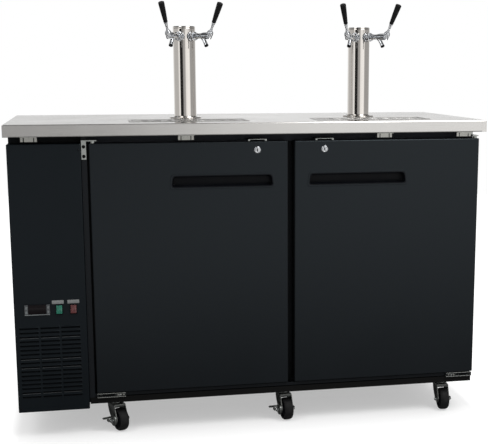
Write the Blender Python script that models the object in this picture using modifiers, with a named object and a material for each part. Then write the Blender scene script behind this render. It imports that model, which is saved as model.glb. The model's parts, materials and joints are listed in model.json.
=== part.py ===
"""A two-door kegerator with a stainless countertop and two double-tap towers.

The frame stands on the floor under the middle of the countertop: +X runs to the
right along the front, +Y to the back and +Z up. All lengths are in metres.
"""

import math

import bmesh
import bpy
from mathutils import Matrix, Vector

for stale in list(bpy.data.objects):
    bpy.data.objects.remove(stale, do_unlink=True)

# Clearances
FIT = 0.0003                    # between pieces that touch
OVERRUN = 0.004                 # how far a cutter runs past what it cuts

# Front widths, from left to right
LEFT_OVERHANG = 0.008
COVER_WIDTH = 0.223
COVER_POST_GAP = 0.001
POST_WIDTH = 0.017
POST_DOOR_GAP = 0.0065
DOOR_WIDTH = 0.628
DOOR_GAP = 0.022
RIGHT_OVERHANG = 0.0165
COVER_SIDE_STEP = 0.002         # the bay's side panel stands this far inside the cover
BODY_SIDE_STEP = 0.003          # the cabinet's right side stands this far inside the door

# Heights, from the floor up
CASTER_HEIGHT = 0.108
BASE_RAIL_HEIGHT = 0.020
RAIL_DOOR_GAP = 0.016
DOOR_HEIGHT = 0.805
DOOR_SKIRT_GAP = 0.0225
SKIRT_HEIGHT = 0.0385
COVER_DROP = 0.014              # the bay hangs this far below the cabinet
POST_TUCK = 0.0045              # the hinge post reaches this far up inside the skirt

# Depths, from the front back
COUNTER_DEPTH = 0.660
DOOR_SETBACK = 0.019
DOOR_THICKNESS = 0.046
GASKET_THICKNESS = 0.010
RAIL_SETBACK = 0.008            # base rail and hinge post, behind the doors' face
REAR_OVERHANG = 0.010

# Sheets, frame and insulation
COUNTER_SHEET = 0.0015
COUNTER_LIP = 0.006
COUNTER_EDGE_RADIUS = 0.003
CASING_SHEET = 0.0012
FRAME_THICKNESS = 0.012
MULLION_WIDTH = 0.080
LINER_SIDE = 0.052              # foam and liner together
LINER_BACK = 0.050
LINER_ROOF = 0.0693
LINER_FLOOR = 0.065
HEADER_HEIGHT = 0.068

# Doors
SKIN_SHEET = 0.0012
SKIN_BACK_STEP = 0.002
SKIN_EDGE_RADIUS = 0.003
PANEL_EDGE_RADIUS = 0.003
PIVOT_INSET = 0.012             # hinge axis, from the door's side and front
GASKET_INSET = 0.010
GASKET_WIDTH = 0.018
GASKET_CORNER = 0.004

# Recessed door handles
HANDLE_EDGE = 0.048             # from the door's free edge
HANDLE_LENGTH = 0.327
HANDLE_HEIGHT = 0.036
HANDLE_DROP = 0.107             # from the door's top
HANDLE_TAPER = 0.005            # each end is this much shorter at the top
HANDLE_CORNER = 0.007
POCKET_DEPTH = 0.028
POCKET_WALL = 0.0015

# Cam locks and their strikes
LOCK_INSET = 0.099              # from the door's free edge
LOCK_DROP = 0.0275              # from the door's top
LOCK_FACE_RADIUS = 0.011
LOCK_FACE_THICKNESS = 0.0025
LOCK_BARREL_RADIUS = 0.009
LOCK_BARREL_LENGTH = 0.012
CAM_LENGTH = 0.036
CAM_WIDTH = 0.012
CAM_THICKNESS = 0.0025
CAM_CLEARANCE = 0.001
KEYHOLE_WIDTH = 0.0022
KEYHOLE_HEIGHT = 0.007
KEYHOLE_DEPTH = 0.0015
STRIKE_WIDTH = 0.060
STRIKE_SHEET = 0.0015
STRIKE_RISE = 0.0055            # above the door's top
STRIKE_EAR_WIDTH = 0.006
STRIKE_EAR_DROP = 0.004

# Door hinges
HINGE_SHEET = 0.003
HINGE_ARM_RISE = 0.007          # above the door's top
HINGE_ARM_OVERRUN = 0.012       # past the pivot, along the door and to the front
HINGE_LEG_WIDTH = 0.015
HINGE_LEG_HEIGHT = 0.060
HINGE_LEG_INSET = 0.0005        # from the post's outer edge
HINGE_PIN_RADIUS = 0.004
HINGE_PIN_LENGTH = 0.012        # inside the door
HINGE_PIN_CLEARANCE = 0.0004
HINGE_COLLAR_RADIUS = 0.007
FOOT_HINGE_LENGTH = 0.092
FOOT_HINGE_SHEET = 0.002
FOOT_HINGE_HEIGHT = 0.0135
FOOT_SLOT_SHARE = 0.6           # of the foot hinge's length
FOOT_SLOT_MARGIN = 0.004

# Counter brackets
BRACKET_WIDTH = 0.050
BRACKET_SHEET = 0.0015
BRACKET_TONGUE = 0.0155
BRACKET_NOTCH = 0.003
BRACKET_EAR_WIDTH = 0.008
BRACKET_FRONT = 0.003           # from the counter's front
TONGUE_SETBACK = 0.021          # from the counter's front
BRACKET_LEFTS = (0.051, 0.532, 1.181, 1.454)    # from the counter's left end

# Machine bay cover: louvres, controller and rocker switches
COVER_SHEET = 0.0012
COVER_EDGE_RADIUS = 0.003
LOUVRE_ROWS = 17
LOUVRE_COLUMNS = 3
LOUVRE_PITCH = 0.014
LOUVRE_SLOT = 0.0075
LOUVRE_BAR = 0.006
LOUVRE_LEFT = 0.014             # from the cover's left edge
LOUVRE_RIGHT = 0.022            # from the cover's right edge
LOUVRE_TOP = 0.576              # from the cover's top
CONTROLLER_LEFT = 0.032
CONTROLLER_TOP = 0.502
CONTROLLER_WIDTH = 0.079
CONTROLLER_HEIGHT = 0.035
CONTROLLER_BEZEL = 0.003
CONTROLLER_BODY_WIDTH = 0.071
CONTROLLER_BODY_HEIGHT = 0.029
CONTROLLER_BODY_DEPTH = 0.048
SWITCH_LEFTS = (0.1275, 0.1715)
SWITCH_TOP = 0.5055
SWITCH_WIDTH = 0.023
SWITCH_HEIGHT = 0.032
SWITCH_BEZEL = 0.002
SWITCH_RIM = 0.0018
SWITCH_WALL = 0.0012
SWITCH_DEPTH = 0.018
SWITCH_STRAP = 0.012            # height of the strap behind the cover
SWITCH_STRAP_SHEET = 0.002
ROCKER_SIDE_GAP = 0.0004
ROCKER_HALF_HEIGHT = 0.0130
ROCKER_REACH = 0.0065           # from the pivot to the pressed ends
ROCKER_DISH = 0.0020            # how much the middle is hollowed
ROCKER_BACK = 0.004
ROCKER_PIVOT_DEPTH = 0.003      # behind the bezel's front
ROCKER_TILT = math.radians(8)

# Towers
TOWER_SPACING = 0.615
TOWER_BACK = 0.350              # from the counter's front
TOWER_TURNS = (math.radians(3), math.radians(-1))
COLUMN_RADIUS = 0.038
COLUMN_WALL = 0.0015
COLUMN_HEIGHT = 0.309
COLUMN_FILLET = 0.002
FLANGE_RADIUS = 0.055
FLANGE_THICKNESS = 0.004
COLUMN_CHAMFER = 0.001
TOWER_BORE_RADIUS = 0.028

# Faucets
TAP_HALF_ANGLE = math.radians(30)
FAUCET_HEIGHT = 0.275
SHANK_RADIUS = 0.0085
SHANK_COLLAR_RADIUS = 0.016
SHANK_COLLAR_START = 0.031
SHANK_COLLAR_END = 0.0435
SHANK_INNER = 0.022             # the inner elbow, from the tower's axis
SHANK_OUTER = 0.058
BARB_RADIUS = 0.0045
BARB_LENGTH = 0.024
NUT_RADIUS = 0.0145
NUT_START = 0.047
NUT_END = 0.060
BODY_NECK_RADIUS = 0.0088
BODY_NECK_END = 0.092
BODY_RADIUS = 0.0108
BODY_SHOULDER = 0.102
BODY_END = 0.139
BODY_NOSE = 0.004
SPOUT_RADIUS = 0.0064
SPOUT_BORE_RADIUS = 0.0046
SPOUT_TOP_REACH = 0.106
SPOUT_TIP_REACH = 0.120
SPOUT_TIP_DROP = 0.0335
SPOUT_BORE_DEPTH = 0.016
BONNET_REACH = 0.1346
BONNET_RADIUS = 0.0105
BONNET_LENGTH = 0.014
LEVER_LEAN = math.radians(29.5)
BALL_RADIUS = 0.0075
BALL_CLEARANCE = 0.0004
STEM_RADIUS = 0.0036
STEM_LENGTH = 0.034
STEM_COLLAR_RADIUS = 0.0060
STEM_COLLAR_LENGTH = 0.006
STUD_RADIUS = 0.003
STUD_LENGTH = 0.012
GRIP_LENGTH = 0.070
GRIP_BASE_RADIUS = 0.0070
GRIP_TOP_RADIUS = 0.0102
GRIP_CHAMFER = 0.0012

# Drip trays
TRAY_LENGTH = 0.387
TRAY_WIDTH = 0.130
TRAY_FRONT = 0.095              # from the counter's front
TRAY_SHIFT = 0.009              # the tray's middle lies this far left of its tower
TRAY_SHEET = 0.0012
TRAY_FLANGE = 0.008
TRAY_STEP_DEPTH = 0.003
TRAY_LEDGE = 0.006
TRAY_DEPTH = 0.022
GRILLE_SHEET = 0.0015
GRILLE_SIDE_GAP = 0.0008
GRILLE_ROWS = 3
GRILLE_COLUMNS = 8
GRILLE_SLOT_WIDTH = 0.010
GRILLE_SLOT_SHARE = 0.72        # of one column

# Casters
CASTER_SIDE_INSET = 0.085       # kingpin, from the body's left or right side
CASTER_INSET = 0.093            # kingpin, from the counter's front or back
CASTER_PLATE_X = 0.060
CASTER_PLATE_Y = 0.075
CASTER_PLATE_THICKNESS = 0.003
RACE_RADIUS = 0.022
RACE_HEIGHT = 0.0112
KINGPIN_RADIUS = 0.006
KINGPIN_CLEARANCE = 0.0004
KINGPIN_LENGTH = 0.0075
CUP_RADIUS = 0.020
CUP_HEIGHT = 0.0072
CROWN_THICKNESS = 0.0028
CROWN_HALF_DEPTH = 0.026
WHEEL_RADIUS = 0.0375
WHEEL_WIDTH = 0.032
WHEEL_EDGE = 0.008
WHEEL_SIDES = 24
WHEEL_TRAIL = 0.030
AXLE_RADIUS = 0.005
AXLE_CLEARANCE = 0.0004
FORK_SHEET = 0.0028
FORK_SIDE_GAP = 0.002
FORK_EYE_RADIUS = 0.016
LEG_BEND_Y = 0.017
LEG_BEND_Z = 0.043
LEG_EYE_END = math.radians(310)
NUT_HALF_WIDTH = 0.0075
NUT_THICKNESS = 0.0085
BRAKE_DISC_RADIUS = 0.0185
BRAKE_DISC_THICKNESS = 0.008
BRAKE_SHEET = 0.0022
BRAKE_TAB_LENGTH = 0.033
BRAKE_TAB_WIDTH = 0.018
BRAKE_TAB_BACK = 0.016          # behind the axle
BRAKE_TAB_OVERLAP = 0.004
BRAKE_TAB_RISE = 0.001          # above the nut's corners
BRAKE_LIP_GAP = 0.0025
BRAKE_LIP_DROP = 0.013
CASTER_TURNS = {
    "front_left": math.radians(23),
    "front_middle": math.radians(8),
    "front_right": math.radians(-3),
    "rear_left": math.radians(12),
    "rear_middle": math.radians(-6),
    "rear_right": math.radians(8),
}
BRAKED_CASTERS = ("front_left", "front_middle")

# Refrigeration
BAY_VENTS = 9
VENT_PITCH = 0.022
VENT_SLOT = 0.008
VENT_MARGIN = 0.025
VENT_TOP = 0.150                # below the body's top
CONDENSER_MARGIN = 0.014
CONDENSER_GAP = 0.018           # behind the frame plane
CONDENSER_DEPTH = 0.045
CONDENSER_HEIGHT = 0.235
CONDENSER_FIN_GROOVES = 6
FIN_GROOVE = 0.004
SHROUD_SHEET = 0.002
SHROUD_BORE_RADIUS = 0.086
BRIDGE_REACH = 0.038
BRIDGE_HEIGHT = 0.020
BRIDGE_SHEET = 0.003
MOTOR_RADIUS = 0.026
MOTOR_LENGTH = 0.040
FAN_RADIUS = 0.078
FAN_HUB_RADIUS = 0.022
FAN_BLADES = 5
FAN_BLADE_SHEET = 0.0015
FAN_BLADE_PITCH = math.radians(32)
FAN_CHORD = 0.034
FAN_HUB_LENGTH = 0.028
COMPRESSOR_BACK = 0.135         # its axis, from the body's back
COMPRESSOR_RADIUS = 0.064
COMPRESSOR_HEIGHT = 0.180
COMPRESSOR_DOME = 0.035
COMPRESSOR_PLATE = 0.003
COMPRESSOR_PLATE_HALF = 0.078
COMPRESSOR_FOOT_RADIUS = 0.011
COMPRESSOR_FOOT_HEIGHT = 0.016
COMPRESSOR_STUB_RADIUS = 0.005
COMPRESSOR_STUB_LENGTH = 0.030
EVAPORATOR_DEPTH = 0.095
EVAPORATOR_WIDTH = 0.340
EVAPORATOR_HEIGHT = 0.400
EVAPORATOR_TOP_GAP = 0.020
EVAPORATOR_SHEET = 0.002
EVAPORATOR_EDGE = 0.006
EVAPORATOR_FAN_DROP = 0.110     # fan axis, below the housing's top
EVAPORATOR_FAN_RADIUS = 0.055
EVAPORATOR_FAN_GAP = 0.004
EVAPORATOR_COIL_DEPTH = 0.034
EVAPORATOR_COIL_MARGIN = 0.020
EVAPORATOR_MOTOR_LENGTH = 0.020
EVAPORATOR_MOTOR_RADIUS = 0.018
EVAPORATOR_HUB_LENGTH = 0.018
EVAPORATOR_HUB_RADIUS = 0.014
EVAPORATOR_CHORD = 0.026
EVAPORATOR_INTAKES = 5
INTAKE_PITCH = 0.026
INTAKE_SLOT = 0.010
INTAKE_MARGIN = 0.040
GLAND_BORE_RADIUS = 0.008
GLAND_HOLE_RADIUS = 0.0035
GLAND_FLANGE_RADIUS = 0.013
GLAND_FLANGE = 0.006
GLAND_INNER = 0.014
GLAND_SIDE = 0.045              # from the bay's left side
GLAND_RISE = 0.060              # above the bay's floor

# Places across the front
COUNTER_WIDTH = (LEFT_OVERHANG + COVER_WIDTH + COVER_POST_GAP + POST_WIDTH
                 + POST_DOOR_GAP + DOOR_WIDTH + DOOR_GAP + DOOR_WIDTH
                 + RIGHT_OVERHANG)
X_COUNTER_LEFT = -COUNTER_WIDTH / 2
X_COUNTER_RIGHT = COUNTER_WIDTH / 2
X_COVER_LEFT = X_COUNTER_LEFT + LEFT_OVERHANG
X_COVER_RIGHT = X_COVER_LEFT + COVER_WIDTH
X_BODY_LEFT = X_COVER_RIGHT + COVER_POST_GAP
X_POST_RIGHT = X_BODY_LEFT + POST_WIDTH
X_LEFT_DOOR = X_POST_RIGHT + POST_DOOR_GAP
X_RIGHT_DOOR = X_LEFT_DOOR + DOOR_WIDTH + DOOR_GAP
X_DOORS_MIDDLE = X_RIGHT_DOOR - DOOR_GAP / 2
X_BODY_RIGHT = X_RIGHT_DOOR + DOOR_WIDTH - BODY_SIDE_STEP
X_BAY_LEFT = X_COVER_LEFT + COVER_SIDE_STEP

# Places from front to back
Y_COUNTER_FRONT = -COUNTER_DEPTH / 2
Y_COUNTER_BACK = COUNTER_DEPTH / 2
Y_DOOR_FRONT = Y_COUNTER_FRONT + DOOR_SETBACK
Y_DOOR_BACK = Y_DOOR_FRONT + DOOR_THICKNESS
Y_FRAME = Y_DOOR_BACK + GASKET_THICKNESS
Y_PANELS = Y_FRAME + FRAME_THICKNESS + FIT
Y_RAIL = Y_DOOR_FRONT + RAIL_SETBACK
Y_BODY_BACK = Y_COUNTER_BACK - REAR_OVERHANG

# Places up from the floor
Z_CABINET = CASTER_HEIGHT
Z_RAIL_TOP = Z_CABINET + BASE_RAIL_HEIGHT
Z_DOOR_BOTTOM = Z_RAIL_TOP + RAIL_DOOR_GAP
Z_DOOR_TOP = Z_DOOR_BOTTOM + DOOR_HEIGHT
Z_SKIRT = Z_DOOR_TOP + DOOR_SKIRT_GAP
Z_COUNTER = Z_SKIRT + SKIRT_HEIGHT
Z_POST_TOP = Z_SKIRT + POST_TUCK
Z_BODY_TOP = Z_COUNTER - COUNTER_SHEET - FIT
Z_BAY = Z_CABINET - COVER_DROP

# The insulated liner's outer corners, just inside the casing and under the trays, and its cavity's
LINER_LOW = Vector((
    X_BODY_LEFT + CASING_SHEET + FIT,
    Y_PANELS,
    Z_CABINET + CASING_SHEET + FIT,
))
LINER_HIGH = Vector((
    X_BODY_RIGHT - CASING_SHEET - FIT,
    Y_BODY_BACK - CASING_SHEET - FIT,
    Z_COUNTER - TRAY_DEPTH,
))
CAVITY_LOW = LINER_LOW + Vector((LINER_SIDE, 0, LINER_FLOOR))
CAVITY_HIGH = LINER_HIGH - Vector((LINER_SIDE, LINER_BACK, LINER_ROOF))

X_TOWERS = (X_DOORS_MIDDLE - TOWER_SPACING / 2, X_DOORS_MIDDLE + TOWER_SPACING / 2)
Y_TOWERS = Y_COUNTER_FRONT + TOWER_BACK
Z_CAM = Z_DOOR_TOP - LOCK_DROP

# Colour, metallic and roughness of each finish
FINISHES = {
    "stainless": ((0.62, 0.61, 0.59), 1.0, 0.30),
    "polished": ((0.75, 0.75, 0.74), 1.0, 0.12),
    "zinc": ((0.55, 0.56, 0.55), 1.0, 0.38),
    "black_steel": ((0.020, 0.022, 0.024), 0.0, 0.42),
    "black_plastic": ((0.012, 0.012, 0.013), 0.0, 0.50),
    "white_liner": ((0.60, 0.61, 0.61), 0.0, 0.40),
    "rubber": ((0.018, 0.018, 0.019), 0.0, 0.70),
    "green_lens": ((0.03, 0.42, 0.30), 0.0, 0.30),
    "red_lens": ((0.36, 0.08, 0.08), 0.0, 0.30),
    "grey_plastic": ((0.30, 0.31, 0.31), 0.0, 0.50),
    "aluminium": ((0.60, 0.61, 0.62), 1.0, 0.40),
}

PARTS = bpy.data.collections.new("kegerator")
CUTTERS = bpy.data.collections.new("cutters")
for group in (PARTS, CUTTERS):
    bpy.context.scene.collection.children.link(group)


# Shapes

def object_from(name, mesh, collection=PARTS):
    """Links a new object that holds the mesh."""
    piece = bpy.data.objects.new(name, mesh)
    collection.objects.link(piece)
    return piece


def object_from_bmesh(name, shape):
    """Turns a bmesh into a linked object."""
    mesh = bpy.data.meshes.new(name)
    shape.to_mesh(mesh)
    shape.free()
    return object_from(name, mesh)


def add_box(shape, low, high):
    """Adds a box between two corners to a bmesh."""
    size = [top - bottom for bottom, top in zip(low, high)]
    middle = [(top + bottom) / 2 for bottom, top in zip(low, high)]
    place = Matrix.Translation(middle) @ Matrix.Diagonal((*size, 1.0))
    bmesh.ops.create_cube(shape, size=1.0, matrix=place)


def box(name, low, high):
    shape = bmesh.new()
    add_box(shape, low, high)
    return object_from_bmesh(name, shape)


def boxes(name, corners):
    """Several boxes in one object, for instance a row of cutters."""
    shape = bmesh.new()
    for low, high in corners:
        add_box(shape, low, high)
    return object_from_bmesh(name, shape)


def add_rod(shape, start, end, radius, sides):
    start = Vector(start)
    end = Vector(end)
    axis = end - start
    place = Matrix.Translation((start + end) / 2) @ axis.to_track_quat("Z", "Y").to_matrix().to_4x4()
    bmesh.ops.create_cone(shape, cap_ends=True, cap_tris=False, segments=sides,
                          radius1=radius, radius2=radius, depth=axis.length, matrix=place)


def rod(name, start, end, radius, sides=16):
    shape = bmesh.new()
    add_rod(shape, start, end, radius, sides)
    return object_from_bmesh(name, shape)


def baked(piece):
    """The piece's evaluated mesh, in world space, with its caps welded on."""
    bpy.context.view_layer.update()
    graph = bpy.context.evaluated_depsgraph_get()
    mesh = bpy.data.meshes.new_from_object(piece.evaluated_get(graph))
    mesh.transform(piece.matrix_world)
    shape = bmesh.new()
    shape.from_mesh(mesh)
    bmesh.ops.remove_doubles(shape, verts=shape.verts, dist=FIT / 30)
    bmesh.ops.recalc_face_normals(shape, faces=shape.faces)
    shape.to_mesh(mesh)
    shape.free()
    return mesh


def discard(piece):
    bpy.data.objects.remove(piece, do_unlink=True)


# How an outline's two axes lie when its prism runs along X, Y or Z
PRISM_TURNS = {
    "X": Matrix(((0, 0, 1, 0), (1, 0, 0, 0), (0, 1, 0, 0), (0, 0, 0, 1))),
    "Y": Matrix(((1, 0, 0, 0), (0, 0, -1, 0), (0, 1, 0, 0), (0, 0, 0, 1))),
    "Z": Matrix.Identity(4),
}


def prism(name, outlines, axis, low, high):
    """Flat outlines, the first one solid and the rest holes, extruded along an axis."""
    curve = bpy.data.curves.new(name, "CURVE")
    curve.dimensions = "2D"
    curve.fill_mode = "BOTH"
    curve.extrude = (high - low) / 2
    for outline in outlines:
        line = curve.splines.new("POLY")
        line.points.add(len(outline) - 1)
        for point, (across, up) in zip(line.points, outline):
            point.co = (across, up, 0, 1)
        line.use_cyclic_u = True
    sketch = object_from(name, curve)
    middle = (low + high) / 2
    offset = -middle if axis == "Y" else middle
    sketch.matrix_world = PRISM_TURNS[axis] @ Matrix.Translation((0, 0, offset))
    mesh = baked(sketch)
    discard(sketch)
    return object_from(name, mesh)


def turned(name, profile, sides, closed=False):
    """A profile of (radius, height) turned about Z, down its outer side."""
    mesh = bpy.data.meshes.new(name)
    edges = [(index, index + 1) for index in range(len(profile) - 1)]
    if closed:
        edges.append((len(profile) - 1, 0))
    mesh.from_pydata([(radius, 0, height) for radius, height in profile], edges, [])
    piece = object_from(name, mesh)
    screw = piece.modifiers.new("turn", "SCREW")
    screw.steps = sides
    screw.render_steps = sides
    screw.use_merge_vertices = True
    screw.merge_threshold = FIT / 30
    solid = object_from(name, baked(piece))
    discard(piece)
    return solid


def open_box(name, low, high, open_sides, sheet, edge_radius=0.0, lip=0.0):
    """A sheet-metal box without some sides, its sheet inside the given corners."""
    shape = bmesh.new()
    add_box(shape, low, high)
    shape.faces.ensure_lookup_table()
    directions = {"-X": (-1, 0, 0), "+X": (1, 0, 0), "-Y": (0, -1, 0),
                  "+Y": (0, 1, 0), "-Z": (0, 0, -1), "+Z": (0, 0, 1)}
    shape.normal_update()
    openings = [face for face in shape.faces
                if any(face.normal.dot(Vector(directions[side])) > 0.9 for side in open_sides)]
    if lip:
        bmesh.ops.inset_region(shape, faces=openings, thickness=lip)
    bmesh.ops.delete(shape, geom=openings, context="FACES_ONLY" if lip else "FACES")
    loose = [edge for edge in shape.edges if not edge.link_faces]
    bmesh.ops.delete(shape, geom=loose, context="EDGES")
    piece = object_from_bmesh(name, shape)
    if edge_radius:
        bevel = piece.modifiers.new("edges", "BEVEL")
        bevel.width = edge_radius
        bevel.segments = 2
        bevel.limit_method = "ANGLE"
    solidify = piece.modifiers.new("sheet", "SOLIDIFY")
    solidify.thickness = sheet
    solidify.offset = -1
    solidify.use_even_offset = True
    return piece


def as_cutter(piece):
    """Keeps a piece as a guide that only shapes others."""
    for collection in list(piece.users_collection):
        collection.objects.unlink(piece)
    CUTTERS.objects.link(piece)
    piece.hide_render = True
    piece.display_type = "WIRE"
    return piece


def combine(target, operation, tools):
    for tool in tools:
        modifier = target.modifiers.new(tool.name, "BOOLEAN")
        modifier.operation = operation
        modifier.object = as_cutter(tool)
    return target


def cut(target, *tools):
    """Takes the tools' shapes away from the target."""
    return combine(target, "DIFFERENCE", tools)


def fuse(target, *tools):
    """Joins the tools' shapes to the target as one solid."""
    return combine(target, "UNION", tools)


def moved(piece, matrix):
    piece.matrix_world = matrix @ piece.matrix_world
    return piece


# Nodes

def paint(node, finish):
    colour, metallic, roughness = FINISHES[finish]
    material = bpy.data.materials.new(node.name + "_" + finish)
    material.use_nodes = True
    shader = material.node_tree.nodes["Principled BSDF"]
    shader.inputs["Base Color"].default_value = (*colour, 1.0)
    shader.inputs["Metallic"].default_value = metallic
    shader.inputs["Roughness"].default_value = roughness
    node.data.materials.clear()
    node.data.materials.append(material)


def solid_mesh(piece):
    """The piece's final mesh, shaded smooth between sharp edges. The piece goes."""
    mesh = baked(piece)
    discard(piece)
    mesh.shade_smooth()
    mesh.set_sharp_from_angle(angle=math.radians(30))
    return mesh


def node(name, finish, piece, frame=None):
    """Makes the named sub-part, with its origin at the frame of its joint if it has one."""
    mesh = solid_mesh(piece)
    place = frame or Matrix.Identity(4)
    mesh.transform(place.inverted())
    part = object_from(name, mesh)
    part.matrix_world = place
    paint(part, finish)
    return part


def placed_copy(name, finish, mesh, place):
    """A repeated sub-part, whose mesh is drawn in its own frame."""
    part = object_from(name, mesh.copy())
    part.matrix_world = place
    paint(part, finish)
    return part


def rounded_outline(low, high, corner, steps=3, taper=0.0):
    """A rectangle with round corners, narrower by the taper at each end of its top."""
    left, bottom = low
    right, top = high
    corners = (
        (right - corner, bottom + corner, -90),
        (right - taper - corner, top - corner, 0),
        (left + taper + corner, top - corner, 90),
        (left + corner, bottom + corner, 180),
    )
    points = []
    for across, up, start in corners:
        for step in range(steps + 1):
            angle = math.radians(start + 90 * step / steps)
            points.append((across + corner * math.cos(angle), up + corner * math.sin(angle)))
    return points


def rectangle(low, high):
    return [(low[0], low[1]), (high[0], low[1]), (high[0], high[1]), (low[0], high[1])]


# Countertop with its two trays

def tower_frame(index):
    """The tower's frame: its axis, on the counter, with its front along -Y."""
    return (Matrix.Translation((X_TOWERS[index], Y_TOWERS, Z_COUNTER))
            @ Matrix.Rotation(TOWER_TURNS[index], 4, "Z"))


def tower_bores():
    """One cutter for the beer line holes below both towers."""
    shape = bmesh.new()
    for across in X_TOWERS:
        add_rod(shape, (across, Y_TOWERS, CAVITY_HIGH.z - OVERRUN),
                (across, Y_TOWERS, Z_COUNTER + OVERRUN), TOWER_BORE_RADIUS, 24)
    return object_from_bmesh("tower_bores", shape)


def tray_corners(index, inset):
    """The tray's outline, drawn in from its outer edge by the inset."""
    middle = X_TOWERS[index] - TRAY_SHIFT
    front = Y_COUNTER_FRONT + TRAY_FRONT
    return ((middle - TRAY_LENGTH / 2 + inset, front + inset),
            (middle + TRAY_LENGTH / 2 - inset, front + TRAY_WIDTH - inset))


def tray_box(index, inset, bottom, top):
    low, high = tray_corners(index, inset)
    return (*low, bottom), (*high, top)


def tray_openings():
    """One cutter for the holes that both trays hang in."""
    inset = TRAY_FLANGE - FIT
    bottom = Z_COUNTER - TRAY_DEPTH
    corners = [tray_box(index, inset, bottom, Z_COUNTER + OVERRUN) for index in (0, 1)]
    return boxes("tray_openings", corners)


def make_countertop():
    """The folded top with its skirt, and the bracket clips welded to its lip."""
    top = open_box("countertop_sheet", (X_COUNTER_LEFT, Y_COUNTER_FRONT, Z_SKIRT),
                   (X_COUNTER_RIGHT, Y_COUNTER_BACK, Z_COUNTER), ("-Z",), COUNTER_SHEET,
                   COUNTER_EDGE_RADIUS, COUNTER_LIP)
    cut(top, tower_bores(), tray_openings())
    fuse(top, *[counter_bracket(left) for left in BRACKET_LEFTS])
    node("countertop", "stainless", top)


def make_drip_pan(index, name):
    """A stepped pan that hangs in the counter by its flange."""
    underside = Z_COUNTER + FIT
    rim = underside + TRAY_SHEET
    step = rim - TRAY_STEP_DEPTH
    floor = underside - TRAY_DEPTH
    wall = TRAY_FLANGE + TRAY_SHEET
    pan = box("tray_flange", *tray_box(index, 0.0, underside, rim))
    inside = (underside + rim) / 2
    upper = box("tray_upper", *tray_box(index, TRAY_FLANGE, step - TRAY_SHEET, inside))
    bowl = box("tray_bowl", *tray_box(index, TRAY_FLANGE + TRAY_LEDGE, floor, inside))
    recess = box("tray_recess", *tray_box(index, wall, step, rim + OVERRUN))
    hollow = box("tray_hollow", *tray_box(index, wall + TRAY_LEDGE, floor + TRAY_SHEET, rim + OVERRUN))
    fuse(pan, upper, bowl)
    cut(pan, recess, hollow)
    node(name, "stainless", pan)


def make_drip_grille(index, name):
    """A slotted plate that lies on the pan's ledge and lifts out."""
    inset = TRAY_FLANGE + TRAY_SHEET + GRILLE_SIDE_GAP
    low, high = tray_corners(index, inset)
    bottom = Z_COUNTER + FIT + TRAY_SHEET - TRAY_STEP_DEPTH + FIT
    plate_length = high[0] - low[0]
    column = plate_length / (GRILLE_COLUMNS + 1)
    row = (high[1] - low[1]) / (GRILLE_ROWS + 1)
    half_slot = column * GRILLE_SLOT_SHARE / 2
    holes = []
    for across in range(GRILLE_COLUMNS):
        for up in range(GRILLE_ROWS):
            x = low[0] + column * (across + 1)
            y = low[1] + row * (up + 1)
            holes.append(rectangle((x - half_slot, y - GRILLE_SLOT_WIDTH / 2),
                                   (x + half_slot, y + GRILLE_SLOT_WIDTH / 2)))
    plate = prism(name, [rectangle(low, high), *holes], "Z", bottom, bottom + GRILLE_SHEET)
    frame = Matrix.Translation(((low[0] + high[0]) / 2, (low[1] + high[1]) / 2, bottom))
    node(name, "stainless", plate, frame=frame)


def counter_bracket(left):
    """A folded clip whose tongue hangs between two ears."""
    x_low = X_COUNTER_LEFT + left
    x_high = x_low + BRACKET_WIDTH
    top = Z_SKIRT + COUNTER_SHEET / 2
    under = Z_SKIRT - BRACKET_SHEET
    tongue_front = Y_COUNTER_FRONT + TONGUE_SETBACK
    tongue_back = tongue_front + BRACKET_SHEET
    front = Y_COUNTER_FRONT + BRACKET_FRONT
    back = Y_FRAME - FIT
    tongue_end = Z_SKIRT - BRACKET_TONGUE
    clip = box("bracket_flange", (x_low, front, under), (x_high, back, top))
    tongue = box("bracket_tongue", (x_low + FIT, tongue_front, tongue_end),
                 (x_high - FIT, tongue_back, (under + top) / 2))
    fuse(clip, tongue)
    notches = []
    for start in (x_low + BRACKET_EAR_WIDTH, x_high - BRACKET_EAR_WIDTH - BRACKET_NOTCH):
        notches.append(((start, tongue_front - OVERRUN, tongue_end - OVERRUN),
                        (start + BRACKET_NOTCH, tongue_back + OVERRUN, under - FIT)))
    return cut(clip, boxes("bracket_notches", notches))


# Doors

def door_side(side):
    """Left edge, right edge, hinge axis place and free direction of a door."""
    left = X_LEFT_DOOR if side == "left" else X_RIGHT_DOOR
    right = left + DOOR_WIDTH
    if side == "left":
        return left, right, left + PIVOT_INSET, 1
    return left, right, right - PIVOT_INSET, -1


def door_frame(side):
    """The door's own frame, on its hinge axis."""
    pivot = door_side(side)[2]
    return Matrix.Translation((pivot, Y_DOOR_FRONT + PIVOT_INSET, Z_DOOR_BOTTOM))


def lock_place(side):
    left, right, _, free = door_side(side)
    edge = right if free > 0 else left
    return edge - free * LOCK_INSET


def handle_corners(side):
    """Lower left and upper right corner of the handle's opening, across and up."""
    left, right, _, free = door_side(side)
    edge = right if free > 0 else left
    near = edge - free * HANDLE_EDGE
    far = near - free * HANDLE_LENGTH
    top = Z_DOOR_TOP - HANDLE_DROP
    return (min(near, far), top - HANDLE_HEIGHT), (max(near, far), top)


def grown(corners, amount):
    (left, bottom), (right, top) = corners
    return (left - amount, bottom - amount), (right + amount, top + amount)


def handle_outline(side, amount):
    """The handle's outline, larger than the pocket by the amount."""
    return rounded_outline(*grown(handle_corners(side), amount), HANDLE_CORNER + amount,
                           taper=HANDLE_TAPER)


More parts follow.
